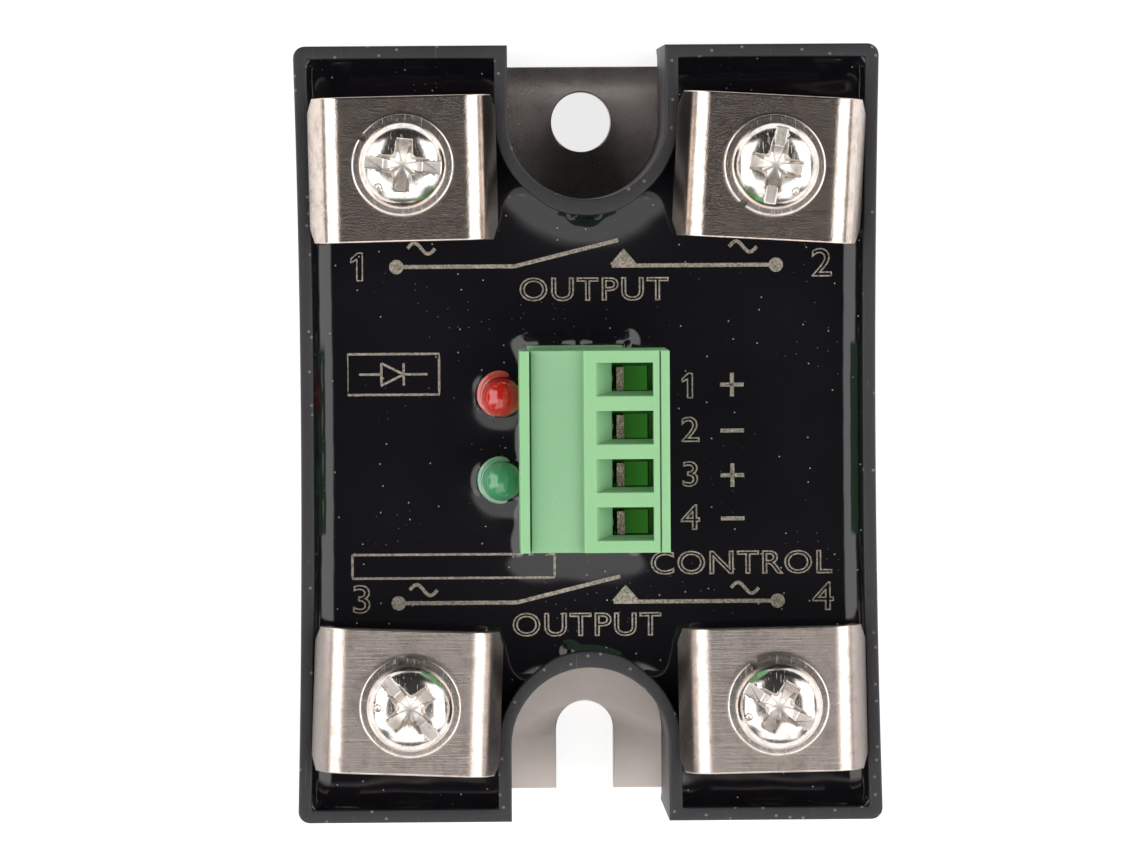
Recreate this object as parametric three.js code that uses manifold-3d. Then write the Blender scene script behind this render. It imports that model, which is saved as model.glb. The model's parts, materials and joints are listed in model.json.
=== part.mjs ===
// A panel-mount solid state relay with two switched outputs: a plastic housing filled with epoxy on an
// aluminium base plate, four screw terminals with wire clamps, two indicator lamps and a pluggable four-pole
// input connector. Millimetres and degrees. +Z points away from the panel, +Y to the end with the round
// mounting hole. The origin is on the underside of the base plate, below the middle of the housing.
import * as THREE from "three";
import { mergeVertices } from "three/addons/utils/BufferGeometryUtils.js";
import Module from "manifold-3d";

// ---- Driving dimensions

// Housing
const BODY_WIDTH = 44.5;
const BODY_LENGTH = 59;
const RIM_HEIGHT = 22.5; // from the panel to the housing's rim
const WALL = 1;
const CORNER_RADIUS = 0.9;
const INNER_CORNER_RADIUS = 0.4;
const SKIRT_LIFT = 0.5; // from the panel to the housing's lower edge
const MOUNT_SPACING = 47.6; // from the round hole to the slot's arc, and between the recesses' arcs
const RECESS_WIDTH = 12;
const CREST_PAD_WIDTH = 7; // flat thickening where each recess wall comes nearest the middle
const CREST_PAD_THICKNESS = 0.25;

// Base plate
const PLATE_THICKNESS = 3;
const PLATE_SIDE_GAP = 0.15;
const PLATE_HOLE_END_GAP = 0.37;
const PLATE_SLOT_END_GAP = 0.1;
const HOLE_DIAMETER = 4.65;
const SLOT_WIDTH = 4.5;

// Filling
const POTTING_DEPTH = 2; // from the rim down to the epoxy
const FILL_GAP = 0.3; // between a filling and what it surrounds

// Circuit board
const BOARD_DEPTH = 9.9; // from the rim down to the board's top face
const BOARD_THICKNESS = 1.6;
const BOARD_GAP = 0.4;
const LEAD = 0.6; // side of a square lead
const LEAD_HOLE = 0.9;

// Screw terminals
const TERMINAL_SIDE_MARGIN = 8.35; // from the housing's side to the screw
const TERMINAL_END_MARGIN = 9.2; // from the housing's end to the screw
const TERMINAL_RISE = 3.1; // from the rim up to the tab's top face
const TAB_WIDTH = 7.6;
const TAB_LENGTH = 9.6;
const TAB_THICKNESS = 1.2;
const TAB_FOOT_WIDTH = 5;
const TAB_FOOT_ROOM = 0.4; // round each foot, where it may stand off its nominal place
const COLLAR_HEIGHT = 1.2;
const COLLAR_WALL = 1;
const SCREW_DIAMETER = 3.9;
const SCREW_LENGTH = 6;
const SCREW_POINT = 0.5; // bevel at the screw's end
const THREAD_CLEARANCE = 0.05;
const HEAD_DIAMETER = 6.6;
const HEAD_HEIGHT = 2.6;
const PAN_HEAD = [[0.97, 0], [1, 0.12], [0.97, 0.45], [0.85, 0.75], [0.62, 0.93], [0.3, 0.99]]; // shares
const HEAD_SLOT_WIDTH = 0.95;
const HEAD_CROSS_WIDTH = 1.2;
const HEAD_CROSS_SPAN = 4.45;
const HEAD_RECESS_DEPTH = 1.3;
const WASHER_DIAMETER = 7.7;
const WASHER_THICKNESS = 0.9;
const WASHER_CLEARANCE = 0.25; // round the screw
const WASHER_SPLIT = 0.6;
const CLAMP_LENGTH = 11;
const CLAMP_THICKNESS = 1;
const CLAMP_FLAT_HALF = 4.55; // from the hole to where the wings start to bend
const CLAMP_BEND_RADIUS = 2; // outside of the bend
const CLAMP_BEND = 70; // degrees
const CLAMP_WING = 2.2;
const CLAMP_CORNER_CUT = 1.1;
const CLAMP_HOLE_CLEARANCE = 0.55; // round the screw

// Input connector
const POLE_COUNT = 4;
const POLE_PITCH = 3.6;
const CONNECTOR_Y = -1.05; // middle of the row of poles
const HEADER_LEFT = -4.6;
const HEADER_RIGHT = 2.65;
const HEADER_HEIGHT = 9.2;
const HEADER_STANDOFF = 0.1;
const HEADER_FLOOR = 1.3;
const HEADER_WALL = 0.9;
const HEADER_END = 2.35; // from the last pole to the header's end
const PIN_X = -0.98;
const PIN_SIDE = 0.9;
const PIN_RISE = 7.9; // above the board
const PIN_TAIL = 1.4; // below the board
const PLUG_LEFT = -5.35;
const PLUG_NECK_LEFT = -4.5;
const PLUG_RIGHT = 5.85;
const PLUG_END = 2.15; // from the last pole to the plug's end
const PLUG_FIT = 0.15;
const PLUG_NECK_HEIGHT = 4.3;
const PLUG_HEAD_HEIGHT = 6.5;
const PLUG_SKIN = 2; // roof over the wire chambers
const PLUG_RIB = 0.83; // left edge of the plug's top face, beside the sunk panel
const PLUG_PANEL_WIDTH = 3.95;
const PLUG_PANEL_DEPTH = 0.6;
const PLUG_GROOVE = 0.12; // width of the seams along the plug's two long edges
const PLUG_GROOVE_DEPTH = 1.2;
const PLUG_SEAM_X = 5.15; // the right edge's seam
const PLUG_SEAM_DEPTH = 0.3;
const WIRE_OPENING_LEFT = 0.31;
const WIRE_OPENING_LENGTH = 4.32;
const WIRE_OPENING_WIDTH = 2.5;
const WIRE_FUNNEL = 0.35; // how far the opening narrows from its lower side
const CAGE_LEFT = 0.9;
const CAGE_LENGTH = 4.1;
const CAGE_WIDTH = 2.7;
const CAGE_HEIGHT = 3.5;
const CAGE_WALL = 0.7;
const CAGE_TRAVEL = 1.85;
const SLIDE_CLEARANCE = 0.05;
const CONTACT_X = 1.9;
const CONTACT_THICKNESS = 0.6;
const CONTACT_WIDTH = 1.8;
const JOG_RISE = 1.2; // from the neck's underside up to the contact's sideways step
const FORK_BLADE = 0.3;
const FORK_LENGTH = 8.4;
const PLUG_SCREW_DIAMETER = 1.9;
const PLUG_SCREW_HEAD_DIAMETER = 2.5;
const PLUG_SCREW_HEAD_LENGTH = 1;
const PLUG_SCREW_SLOT_WIDTH = 0.4;
const PLUG_SCREW_SLOT_DEPTH = 0.5;
const PLUG_SCREW_RECESS = 0.25; // from the plug's face in to the screw's head

// Indicator lamps
const LAMP_X = -6.6;
const LAMP_Y = { red: 3, green: -3.55 };
const LAMP_DIAMETER = 3;
const LAMP_FLANGE_DIAMETER = 3.7;
const LAMP_FLANGE = 0.8;
const LAMP_HEIGHT = 5.4;
const LAMP_SINK = 0.5; // how deep the flange sits in the epoxy
const LAMP_LEAD_PITCH = 2.54;
const LAMP_LEAD = 0.5;

// Switching devices
const PAD_SIZE = [11, 16.5, 0.6];
const TRIAC_X = 10.5;
const TRIAC_Y = -7.1;
const TRIAC_SIZE = [10, 9.2, 4.4];
const TRIAC_TAB_LENGTH = 6.3;
const TRIAC_TAB_THICKNESS = 1.3;
const TRIAC_LEAD_PITCH = 2.54;
const TRIAC_LEAD_REACH = 2.6;
const TRIAC_LEAD_LEVEL = 2.4; // underside of the leads where they leave the body
const TRIAC_LEAD_ROOM = 0.7; // round the row of leads
const TRIAC_TIP = 1.2; // room over the lead ends, above the board
const TRIAC_HOLE_RADIUS = 1.85;
const CAPACITOR_SIZE = [11, 5, 6.2];
const CAPACITOR_REACH = 3.8; // from the middle to a lead, as for the resistors
const CAPACITOR_PLACE = [-14.4, 9.2];
const SNUBBER_RESISTOR = { length: 7, diameter: 2.5, reach: 4.8 };
const SNUBBER_RESISTOR_PLACE = [-14.6, 3.6];
const INPUT_RESISTOR = { length: 5, diameter: 1.9, reach: 3.8 };
const INPUT_RESISTOR_PLACE = [10, 12.2];
const OPTOCOUPLER_SIZE = [8.8, 6.4, 3.5];
const OPTOCOUPLER_LEAD = {
  pitch: 2.54,
  width: 0.8,
  thickness: 0.3,
  standoff: 0.4,
  level: 1.8,
  reach: 0.95,
  foot: 0.7,
};
const OPTOCOUPLER_PLACE = [11.5, 5.2];
const TRANSISTOR = { radius: 2.3, flat: 1.3, height: 4.8, leadPitch: 1.27 };
const TRANSISTOR_PLACE = [17.8, 12.6];

// How each terminal came to rest in the epoxy and when its screw was tightened: which way it lies from the
// middle, how far off its nominal place, the clamp's turn and shift on its screw, and the screw slot's turn.
const TERMINALS = [
  { side: -1, end: 1, offset: [-0.08, 0.15], clampTurn: 1.1, clampShift: [0, -0.28], slotTurn: -5 },
  { side: 1, end: 1, offset: [0.16, -0.04], clampTurn: -3.3, clampShift: [-0.26, -0.13], slotTurn: 79.7 },
  { side: -1, end: -1, offset: [0.22, -0.12], clampTurn: -2.2, clampShift: [-0.2, 0.3], slotTurn: -50 },
  { side: 1, end: -1, offset: [0.22, -0.14], clampTurn: 0.95, clampShift: [-0.27, 0.33], slotTurn: -30 },
];

// ---- Levels and places that follow from them
const POTTING_TOP = RIM_HEIGHT - POTTING_DEPTH;
const BOARD_TOP = RIM_HEIGHT - BOARD_DEPTH;
const BOARD_BOTTOM = BOARD_TOP - BOARD_THICKNESS;
const TAB_TOP = RIM_HEIGHT + TERMINAL_RISE;
const CLAMP_TOP = TAB_TOP + CLAMP_THICKNESS;
const WASHER_TOP = CLAMP_TOP + WASHER_THICKNESS;
const RECESS_Y = MOUNT_SPACING / 2;
const TERMINAL_X = BODY_WIDTH / 2 - TERMINAL_SIDE_MARGIN;
const TERMINAL_Y = BODY_LENGTH / 2 - TERMINAL_END_MARGIN;
const HEADER_BOTTOM = BOARD_TOP + HEADER_STANDOFF;
const HEADER_TOP = HEADER_BOTTOM + HEADER_HEIGHT;
const PLUG_NECK_BOTTOM = HEADER_TOP + FILL_GAP;
const PLUG_HEAD_BOTTOM = PLUG_NECK_BOTTOM + PLUG_NECK_HEIGHT;
const PLUG_TOP = PLUG_HEAD_BOTTOM + PLUG_HEAD_HEIGHT;
const CHAMBER_TOP = PLUG_TOP - PLUG_SKIN;
const CAGE_BOTTOM = PLUG_HEAD_BOTTOM;
const PLUG_SCREW_Z = CAGE_BOTTOM + CAGE_HEIGHT / 2;
const JOG_BOTTOM = PLUG_NECK_BOTTOM + JOG_RISE;
const middlePole = (POLE_COUNT - 1) / 2;
const POLES = Array.from({ length: POLE_COUNT }, (_, i) => CONNECTOR_Y - (i - middlePole) * POLE_PITCH);
const PAD_TOP = PLATE_THICKNESS + PAD_SIZE[2];
const CONTACT_TOP = CHAMBER_TOP - PLUG_FIT;

// ---- Finishes
const finish = (color, roughness, metalness = 0) =>
  new THREE.MeshStandardMaterial({ color, roughness, metalness });
const FINISHES = {
  housing: finish(0x413d41, 0.55),
  epoxy: finish(0x1e1b20, 0.22),
  gel: finish(0xb9b4a6, 0.35),
  aluminium: finish(0x9a918e, 0.45, 1),
  board: finish(0x2f5b36, 0.5),
  pad: finish(0xd7d3c7, 0.7),
  blackPlastic: finish(0x1c1c1e, 0.5),
  capacitor: finish(0x8f2f26, 0.4),
  resistor: finish(0xb79a6b, 0.5),
  plugGreen: finish(0x8ebd93, 0.5),
  headerGreen: finish(0x7fae84, 0.5),
  contact: finish(0xb9b2a4, 0.35, 1),
  zinc: finish(0xa8a09b, 0.4, 1),
  screw: finish(0x8d8884, 0.3, 1),
  redLens: finish(0xb2493f, 0.35),
  greenLens: finish(0x5d9874, 0.35),
};

// ---- Joining and cutting
const wasm = await Module();
wasm.setup();

/** A closed geometry as a solid that can be joined and cut. */
function solid(geometry) {
  const bare = geometry.clone();
  bare.deleteAttribute("normal");
  bare.deleteAttribute("uv");
  const merged = mergeVertices(bare, 1e-4);
  return new wasm.Manifold(
    new wasm.Mesh({
      numProp: 3,
      vertProperties: new Float32Array(merged.attributes.position.array),
      triVerts: new Uint32Array(merged.index.array),
    }),
  );
}

/** A solid's surface as a geometry. */
function surface(made) {
  const mesh = made.getMesh();
  const geometry = new THREE.BufferGeometry();
  geometry.setAttribute("position", new THREE.BufferAttribute(mesh.vertProperties, 3));
  geometry.setIndex(new THREE.BufferAttribute(mesh.triVerts, 1));
  geometry.computeVertexNormals();
  return geometry;
}

const joined = (solids) => solids.reduce((sum, part) => sum.add(part));
const cut = (whole, cutters) => cutters.reduce((left, cutter) => left.subtract(cutter), whole);
const around = (centre, half) => [centre - half, centre + half];
const onSides = (half) => [-half, half];

/** A box from its three spans. */
function block([x0, x1], [y0, y1], [z0, z1]) {
  const geometry = new THREE.BoxGeometry(x1 - x0, y1 - y0, z1 - z0);
  return solid(geometry.translate((x0 + x1) / 2, (y0 + y1) / 2, (z0 + z1) / 2));
}

/** A block whose lower and upper faces differ, each given by its spans of x and y. */
function frustum(low, high, [z0, z1]) {
  const geometry = new THREE.BoxGeometry(1, 1, 1);
  const place = geometry.attributes.position;
  for (let i = 0; i < place.count; i++) {
    const [xs, ys] = place.getZ(i) > 0 ? high : low;
    const x = xs[place.getX(i) > 0 ? 1 : 0];
    const y = ys[place.getY(i) > 0 ? 1 : 0];
    place.setXYZ(i, x, y, place.getZ(i) > 0 ? z1 : z0);
  }
  return solid(geometry);
}

/** An outline seen from above, raised over a span of z. */
function plan(points, [z0, z1]) {
  const shape = new THREE.Shape(points);
  const geometry = new THREE.ExtrudeGeometry(shape, { depth: z1 - z0, bevelEnabled: false });
  return solid(geometry.translate(0, 0, z0));
}

/** An upright round bar, its corners on the circle. */
function rod(radius, [x, y], [z0, z1], sides = 16) {
  const geometry = new THREE.CylinderGeometry(radius, radius, z1 - z0, sides).rotateX(Math.PI / 2);
  return solid(geometry.translate(x, y, (z0 + z1) / 2));
}

/** How far out a cutter's corners lie when its flats are on the circle, so that a shaft always fits. */
const cornerRadius = (radius, sides) => radius / Math.cos(Math.PI / sides);

/** An upright round cutter. */
const bore = (radius, centre, span, sides = 16) => rod(cornerRadius(radius, sides), centre, span, sides);

/** A round bar along X. */
function crossRod(radius, [y, z], [x0, x1], sides = 12) {
  const geometry = new THREE.CylinderGeometry(radius, radius, x1 - x0, sides).rotateZ(Math.PI / 2);
  return solid(geometry.translate((x0 + x1) / 2, y, z));
}

/** A round cutter along X. */
const crossBore = (radius, centre, span, sides = 12) =>
  crossRod(cornerRadius(radius, sides), centre, span, sides);

/** A profile of [radius, z] pairs, from the bottom up, turned round the Z axis. */
function turned(profile, sides) {
  const points = profile.map(([r, z]) => new THREE.Vector2(r, z));
  return solid(new THREE.LatheGeometry(points, sides).rotateX(Math.PI / 2));
}

/** Points on an arc about (x, y), angles in degrees. */
function arc(x, y, radius, from, to, steps) {
  return Array.from({ length: steps + 1 }, (_, i) => {
    const angle = THREE.MathUtils.degToRad(from + ((to - from) * i) / steps);
    return new THREE.Vector2(x + radius * Math.cos(angle), y + radius * Math.sin(angle));
  });
}

// ---- Housing, base plate and fillings

/** The housing's outline moved in by inset: a rectangle with a round-bottomed recess in each end. */
function outline(inset) {
  const x = BODY_WIDTH / 2 - inset;
  const y = BODY_LENGTH / 2 - inset;
  const recess = RECESS_WIDTH / 2 + inset;
  const r = Math.max(CORNER_RADIUS - inset, INNER_CORNER_RADIUS);
  return [
    ...arc(x - r, -y + r, r, -90, 0, 3),
    ...arc(x - r, y - r, r, 0, 90, 3),
    new THREE.Vector2(recess, y),
    ...arc(0, RECESS_Y, recess, 0, -180, 14),
    new THREE.Vector2(-recess, y),
    ...arc(-x + r, y - r, r, 90, 180, 3),
    ...arc(-x + r, -y + r, r, 180, 270, 3),
    new THREE.Vector2(-recess, -y),
    ...arc(0, -RECESS_Y, recess, 180, 0, 14),
    new THREE.Vector2(recess, -y),
  ];
}

const plateHalfWidth = BODY_WIDTH / 2 - WALL - PLATE_SIDE_GAP;
const wallInside = BODY_LENGTH / 2 - WALL;
const plateSpan = [PLATE_SLOT_END_GAP - wallInside, wallInside - PLATE_HOLE_END_GAP];

/** The flat thickenings of the two recess walls, with a margin round them. */
function crestPads(margin) {
  const crest = RECESS_Y - RECESS_WIDTH / 2 - WALL;
  const depth = [crest - CREST_PAD_THICKNESS - margin, crest + WALL + margin];
  return onSides(1).map((end) =>
    block(
      around(0, CREST_PAD_WIDTH / 2 + margin),
      end > 0 ? depth : [-depth[1], -depth[0]],
      [PLATE_THICKNESS - margin, RIM_HEIGHT + margin],
    ),
  );
}

function housing() {
  const shell = plan(outline(0), [SKIRT_LIFT, RIM_HEIGHT]);
  const hollow = plan(outline(WALL), [0, RIM_HEIGHT + 1]);
  const plateRoom = block(
    around(0, plateHalfWidth + PLATE_SIDE_GAP),
    around(0, BODY_LENGTH / 2 - WALL),
    [0, PLATE_THICKNESS],
  );
  const recesses = onSides(RECESS_Y).map((y) => bore(RECESS_WIDTH / 2, [0, y], [0, RIM_HEIGHT + 1], 28));
  return cut(joined([cut(shell, [hollow, plateRoom]), ...crestPads(0)]), recesses);
}

function basePlate() {
  const whole = block([-plateHalfWidth, plateHalfWidth], plateSpan, [0, PLATE_THICKNESS]);
  const through = [-1, PLATE_THICKNESS + 1];
  const slotEnd = plateSpan[0] - 1;
  return cut(whole, [
    bore(HOLE_DIAMETER / 2, [0, RECESS_Y], through, 24),
    bore(SLOT_WIDTH / 2, [0, -RECESS_Y], through, 24),
    block(around(0, SLOT_WIDTH / 2), [slotEnd, -RECESS_Y], through),
  ]);
}

// ---- Circuit board and what stands on it. Each function gives a solid about its own middle, standing at
// z 0, and LAYOUT places it on the board and says where its leads go through.
const throughLeads = (xs) => xs.map((x) => block(around(x, LEAD / 2), around(0, LEAD / 2), [-1, 1]));

/** A film capacitor: a small box with square leads that reach down into the board. */
function capacitor() {
  const [length, width, height] = CAPACITOR_SIZE;
  const body = block(around(0, length / 2), around(0, width / 2), [FILL_GAP, height]);
  return joined([body, ...throughLeads(onSides(CAPACITOR_REACH))]);
}

/** A round resistor lying along X, its leads bent down into the board. */
function resistor({ length, diameter, reach }) {
  const height = diameter / 2 + FILL_GAP;
  const body = crossRod(diameter / 2, [0, height], around(0, length / 2), 10);
  const wires = block(around(0, reach + LEAD / 2), around(0, LEAD / 2), around(height, LEAD / 2));
  const legs = onSides(reach).map((x) => block(around(x, LEAD / 2), around(0, LEAD / 2), [-1, height]));
  return joined([body, wires, ...legs]);
}

/** A six-lead optocoupler, each lead leaving the body's side, going down and lying flat on the board. */
function optocoupler() {
  const [length, width, height] = OPTOCOUPLER_SIZE;
  const lead = OPTOCOUPLER_LEAD;
  const body = block(around(0, length / 2), around(0, width / 2), [lead.standoff, lead.standoff + height]);
  const knee = width / 2 + lead.reach;
  const outward = (side, from, to) => (side > 0 ? [from, to] : [-to, -from]);
  const leads = onSides(1).flatMap((side) =>
    [-lead.pitch, 0, lead.pitch].map((middle) => {
      const x = around(middle, lead.width / 2);
      return joined([
        block(x, outward(side, width / 2 - 0.1, knee), [lead.level, lead.level + lead.thickness]),
        block(x, outward(side, knee - lead.thickness, knee), [0, lead.level + lead.thickness]),
        block(x, outward(side, knee - lead.thickness, knee + lead.foot), [0, lead.thickness]),
      ]);
    }),
  );
  return joined([body, ...leads]);
}

/** A transistor with a flat face and three leads in a row along X. */
function transistor() {
  const { radius, flat, height } = TRANSISTOR;
  const face = block(around(0, radius + 1), [flat, radius + 1], [0, height + 1]);
  const body = cut(rod(radius, [0, 0], [FILL_GAP, height], 14), [face]);
  return joined([body, ...throughLeads(transistorLeads)]);
}

/** The pocket that a filling leaves round a part: its overall size with the gap on every side. */
const roomFor = (length, width, height) => [length + 2 * FILL_GAP, width + 2 * FILL_GAP, height + FILL_GAP];
const resistorRoom = ({ diameter, reach }) => roomFor(2 * reach + LEAD, diameter, diameter + FILL_GAP);

const transistorLeads = [-TRANSISTOR.leadPitch, 0, TRANSISTOR.leadPitch];
const optocouplerWidth = OPTOCOUPLER_SIZE[1] + 2 * (OPTOCOUPLER_LEAD.reach + OPTOCOUPLER_LEAD.foot);
const optocouplerHeight = OPTOCOUPLER_SIZE[2] + OPTOCOUPLER_LEAD.standoff;

/** One kind of part for each output, mirrored about the board's middle, with its leads' places along X. */
const pair = (kind, [x, y], room, leads, make, material) =>
  [1, -1].map((end, i) => ({ name: `${kind}_${i + 1}`, at: [x, end * y], room, leads, make, material }));

const LAYOUT = [
  pair(
    "optocoupler",
    OPTOCOUPLER_PLACE,
    roomFor(OPTOCOUPLER_SIZE[0], optocouplerWidth, optocouplerHeight),
    [],
    optocoupler,
    "blackPlastic",
  ),
  pair(
    "snubber_capacitor",
    CAPACITOR_PLACE,
    roomFor(...CAPACITOR_SIZE),
    onSides(CAPACITOR_REACH),
    capacitor,
    "capacitor",
  ),
  pair(
    "snubber_resistor",
    SNUBBER_RESISTOR_PLACE,
    resistorRoom(SNUBBER_RESISTOR),
    onSides(SNUBBER_RESISTOR.reach),
    () => resistor(SNUBBER_RESISTOR),
    "resistor",
  ),
  pair(
    "input_resistor",
    INPUT_RESISTOR_PLACE,
    resistorRoom(INPUT_RESISTOR),
    onSides(INPUT_RESISTOR.reach),
    () => resistor(INPUT_RESISTOR),
    "resistor",
  ),
  pair(
    "transistor",
    TRANSISTOR_PLACE,
    roomFor(2 * TRANSISTOR.radius, 2 * TRANSISTOR.radius, TRANSISTOR.height),
    transistorLeads,
    transistor,
    "blackPlastic",
  ),
].flat();

const lampLeads = (colour) => onSides(LAMP_LEAD_PITCH / 2).map((y) => [LAMP_X, LAMP_Y[colour] + y]);
const triacLeadY = TRIAC_Y - TRIAC_SIZE[1] / 2 - TRIAC_LEAD_REACH;
const triacLeads = onSides(TRIAC_X).flatMap((x) =>
  [-1, 0, 1].map((i) => [x + i * TRIAC_LEAD_PITCH, triacLeadY]),
);
const lugFootY = TERMINAL_Y - TAB_LENGTH / 2 + TAB_THICKNESS / 2;

function circuitBoard() {
  const through = [BOARD_BOTTOM - 1, BOARD_TOP + 1];
  const whole = plan(outline(WALL + BOARD_GAP), [BOARD_BOTTOM, BOARD_TOP]);
  const leads = [
    ...LAYOUT.flatMap((part) => part.leads.map((x) => [part.at[0] + x, part.at[1]])),
    ...lampLeads("red"),
    ...lampLeads("green"),
    ...triacLeads,
  ];
  const holes = leads.map(([x, y]) => block(around(x, LEAD_HOLE / 2), around(y, LEAD_HOLE / 2), through));
  const pinHoles = POLES.map((y) => {
    const half = PIN_SIDE / 2 + THREAD_CLEARANCE;
    return block(around(PIN_X, half), around(y, half), through);
  });
  const footHoles = TERMINALS.map(({ side, end }) =>
    block(
      around(side * TERMINAL_X, TAB_FOOT_WIDTH / 2 + TAB_FOOT_ROOM),
      around(end * lugFootY, TAB_THICKNESS / 2 + TAB_FOOT_ROOM),
      through,
    ),
  );
  return cut(whole, [...holes, ...pinHoles, ...footHoles, ...crestPads(BOARD_GAP)]);
}

/** The epoxy that closes the top, with a pocket round each part that stands on the board. */
function pottingCap() {
  const bottom = BOARD_TOP + FILL_GAP;
  const through = [bottom - 1, POTTING_TOP + 1];
  const whole = plan(outline(WALL + FILL_GAP), [bottom, POTTING_TOP]);
  const pockets = LAYOUT.map(({ at: [x, y], room: [length, width, height] }) =>
    block(around(x, length / 2), around(y, width / 2), [bottom - 1, BOARD_TOP + height]),
  );
  const feet = TERMINALS.map(({ side, end }) =>
    block(
      around(side * TERMINAL_X, TAB_WIDTH / 2 + TAB_FOOT_ROOM),
      around(end * lugFootY, TAB_THICKNESS / 2 + TAB_FOOT_ROOM),
      through,
    ),
  );
  const triacTips = onSides(TRIAC_X).map((x) =>
    block(
      around(x, TRIAC_LEAD_PITCH + TRIAC_LEAD_ROOM),
      around(triacLeadY, TRIAC_LEAD_ROOM),
      [bottom - 1, BOARD_TOP + TRIAC_TIP],
    ),
  );
  const connector = block(
    [HEADER_LEFT - FILL_GAP, HEADER_RIGHT + FILL_GAP],
    around(CONNECTOR_Y, ((POLE_COUNT - 1) * POLE_PITCH) / 2 + HEADER_END + FILL_GAP),
    through,
  );
  const lamps = Object.values(LAMP_Y).map((y) => bore(LAMP_FLANGE_DIAMETER / 2 + 0.1, [LAMP_X, y], through));
  return cut(whole, [...pockets, ...feet, ...triacTips, connector, ...lamps, ...crestPads(FILL_GAP)]);
}

/** The soft filling between the plate and the board, with a pocket round each switching device. */
function pottingGel() {
  const span = [PLATE_THICKNESS, BOARD_BOTTOM - FILL_GAP];
  const whole = plan(outline(WALL + FILL_GAP), span);
  const deviceRooms = onSides(TRIAC_X).flatMap((x) => [
    block(
      around(x, PAD_SIZE[0] / 2 + FILL_GAP),
      around(TRIAC_Y + TRIAC_TAB_LENGTH / 2, PAD_SIZE[1] / 2 + FILL_GAP),
      [0, PAD_TOP + TRIAC_SIZE[2] + FILL_GAP],
    ),
    block(
      around(x, TRIAC_LEAD_PITCH + TRIAC_LEAD_ROOM),
      [triacLeadY - TRIAC_LEAD_ROOM, TRIAC_Y],
      [PAD_TOP, BOARD_BOTTOM + 1],
    ),
  ]);
  const feet = TERMINALS.map(({ side, end }) =>
    block(
      around(side * TERMINAL_X, TAB_FOOT_WIDTH / 2 + TAB_FOOT_ROOM),
      around(end * lugFootY, TAB_THICKNESS / 2 + TAB_FOOT_ROOM),
      [BOARD_BOTTOM - PIN_TAIL - FILL_GAP, BOARD_BOTTOM + 1],
    ),
  );
  const pinTails = block(
    around(PIN_X, PIN_SIDE),
    around(CONNECTOR_Y, ((POLE_COUNT - 1) * POLE_PITCH) / 2 + PIN_SIDE),
    [BOARD_BOTTOM - PIN_TAIL - FILL_GAP, BOARD_BOTTOM + 1],
  );
  return cut(whole, [...deviceRooms, ...feet, pinTails, ...crestPads(FILL_GAP)]);
}

/** A flat power device: a moulded body, a metal tab with its hole, and three leads bent up to the board. */
function triac() {
  const [width, length, height] = TRIAC_SIZE;
  const body = block(around(0, width / 2), around(0, length / 2), [0, height]);
  const tab = cut(
    block(around(0, width / 2), [length / 2 - 1, length / 2 + TRIAC_TAB_LENGTH], [0, TRIAC_TAB_THICKNESS]),
    [bore(TRIAC_HOLE_RADIUS, [0, (length + TRIAC_TAB_LENGTH) / 2], [-1, height])],
  );
  const leads = [-1, 0, 1].map((i) => {
    const x = around(i * TRIAC_LEAD_PITCH, LEAD / 2);
    const end = -length / 2 - TRIAC_LEAD_REACH;
    return joined([
      block(x, [end - LEAD / 2, 0], [TRIAC_LEAD_LEVEL, TRIAC_LEAD_LEVEL + LEAD]),
      block(x, around(end, LEAD / 2), [TRIAC_LEAD_LEVEL, BOARD_TOP - PAD_TOP + TRIAC_TIP - FILL_GAP]),
    ]);
  });
  return joined([body, tab, ...leads]);
}

// ---- Indicator lamps
function lamp() {
  const r = LAMP_DIAMETER / 2;
  const straight = LAMP_HEIGHT - r;
  const dome = [0, 22.5, 45, 67.5].map((angle) => {
    const a = THREE.MathUtils.degToRad(angle);
    return [r * Math.cos(a), straight + r * Math.sin(a)];
  });
  const lens = turned(
    [
      [0, 0],
      [LAMP_FLANGE_DIAMETER / 2, 0],
      [LAMP_FLANGE_DIAMETER / 2, LAMP_FLANGE],
      [r, LAMP_FLANGE],
      ...dome,
      [0, LAMP_HEIGHT],
    ],
    16,
  );
  const legBottom = BOARD_BOTTOM - (POTTING_TOP - LAMP_SINK);
  const legs = onSides(LAMP_LEAD_PITCH / 2).map((y) =>
    block(around(0, LAMP_LEAD / 2), around(y, LAMP_LEAD / 2), [legBottom, LAMP_FLANGE / 2]),
  );
  return joined([lens, ...legs]);
}

// ---- Screw terminals, each about its own screw's axis
function terminalLug() {
  const tab = block(around(0, TAB_WIDTH / 2), around(0, TAB_LENGTH / 2), [TAB_TOP - TAB_THICKNESS, TAB_TOP]);
  const collarBottom = TAB_TOP - TAB_THICKNESS - COLLAR_HEIGHT;
  const collar = rod(SCREW_DIAMETER / 2 + COLLAR_WALL, [0, 0], [collarBottom, TAB_TOP - 0.5]);
  const innerEdge = [-TAB_LENGTH / 2, -TAB_LENGTH / 2 + TAB_THICKNESS];
  const riser = block(around(0, TAB_WIDTH / 2), innerEdge, [BOARD_TOP, TAB_TOP]);
  const foot = block(around(0, TAB_FOOT_WIDTH / 2), innerEdge, [BOARD_BOTTOM - PIN_TAIL, BOARD_TOP + 1]);
  const hole = bore(SCREW_DIAMETER / 2 + THREAD_CLEARANCE, [0, 0], [collarBottom - 1, TAB_TOP + 1]);
  return cut(joined([tab, collar, riser, foot]), [hole]);
}

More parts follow.
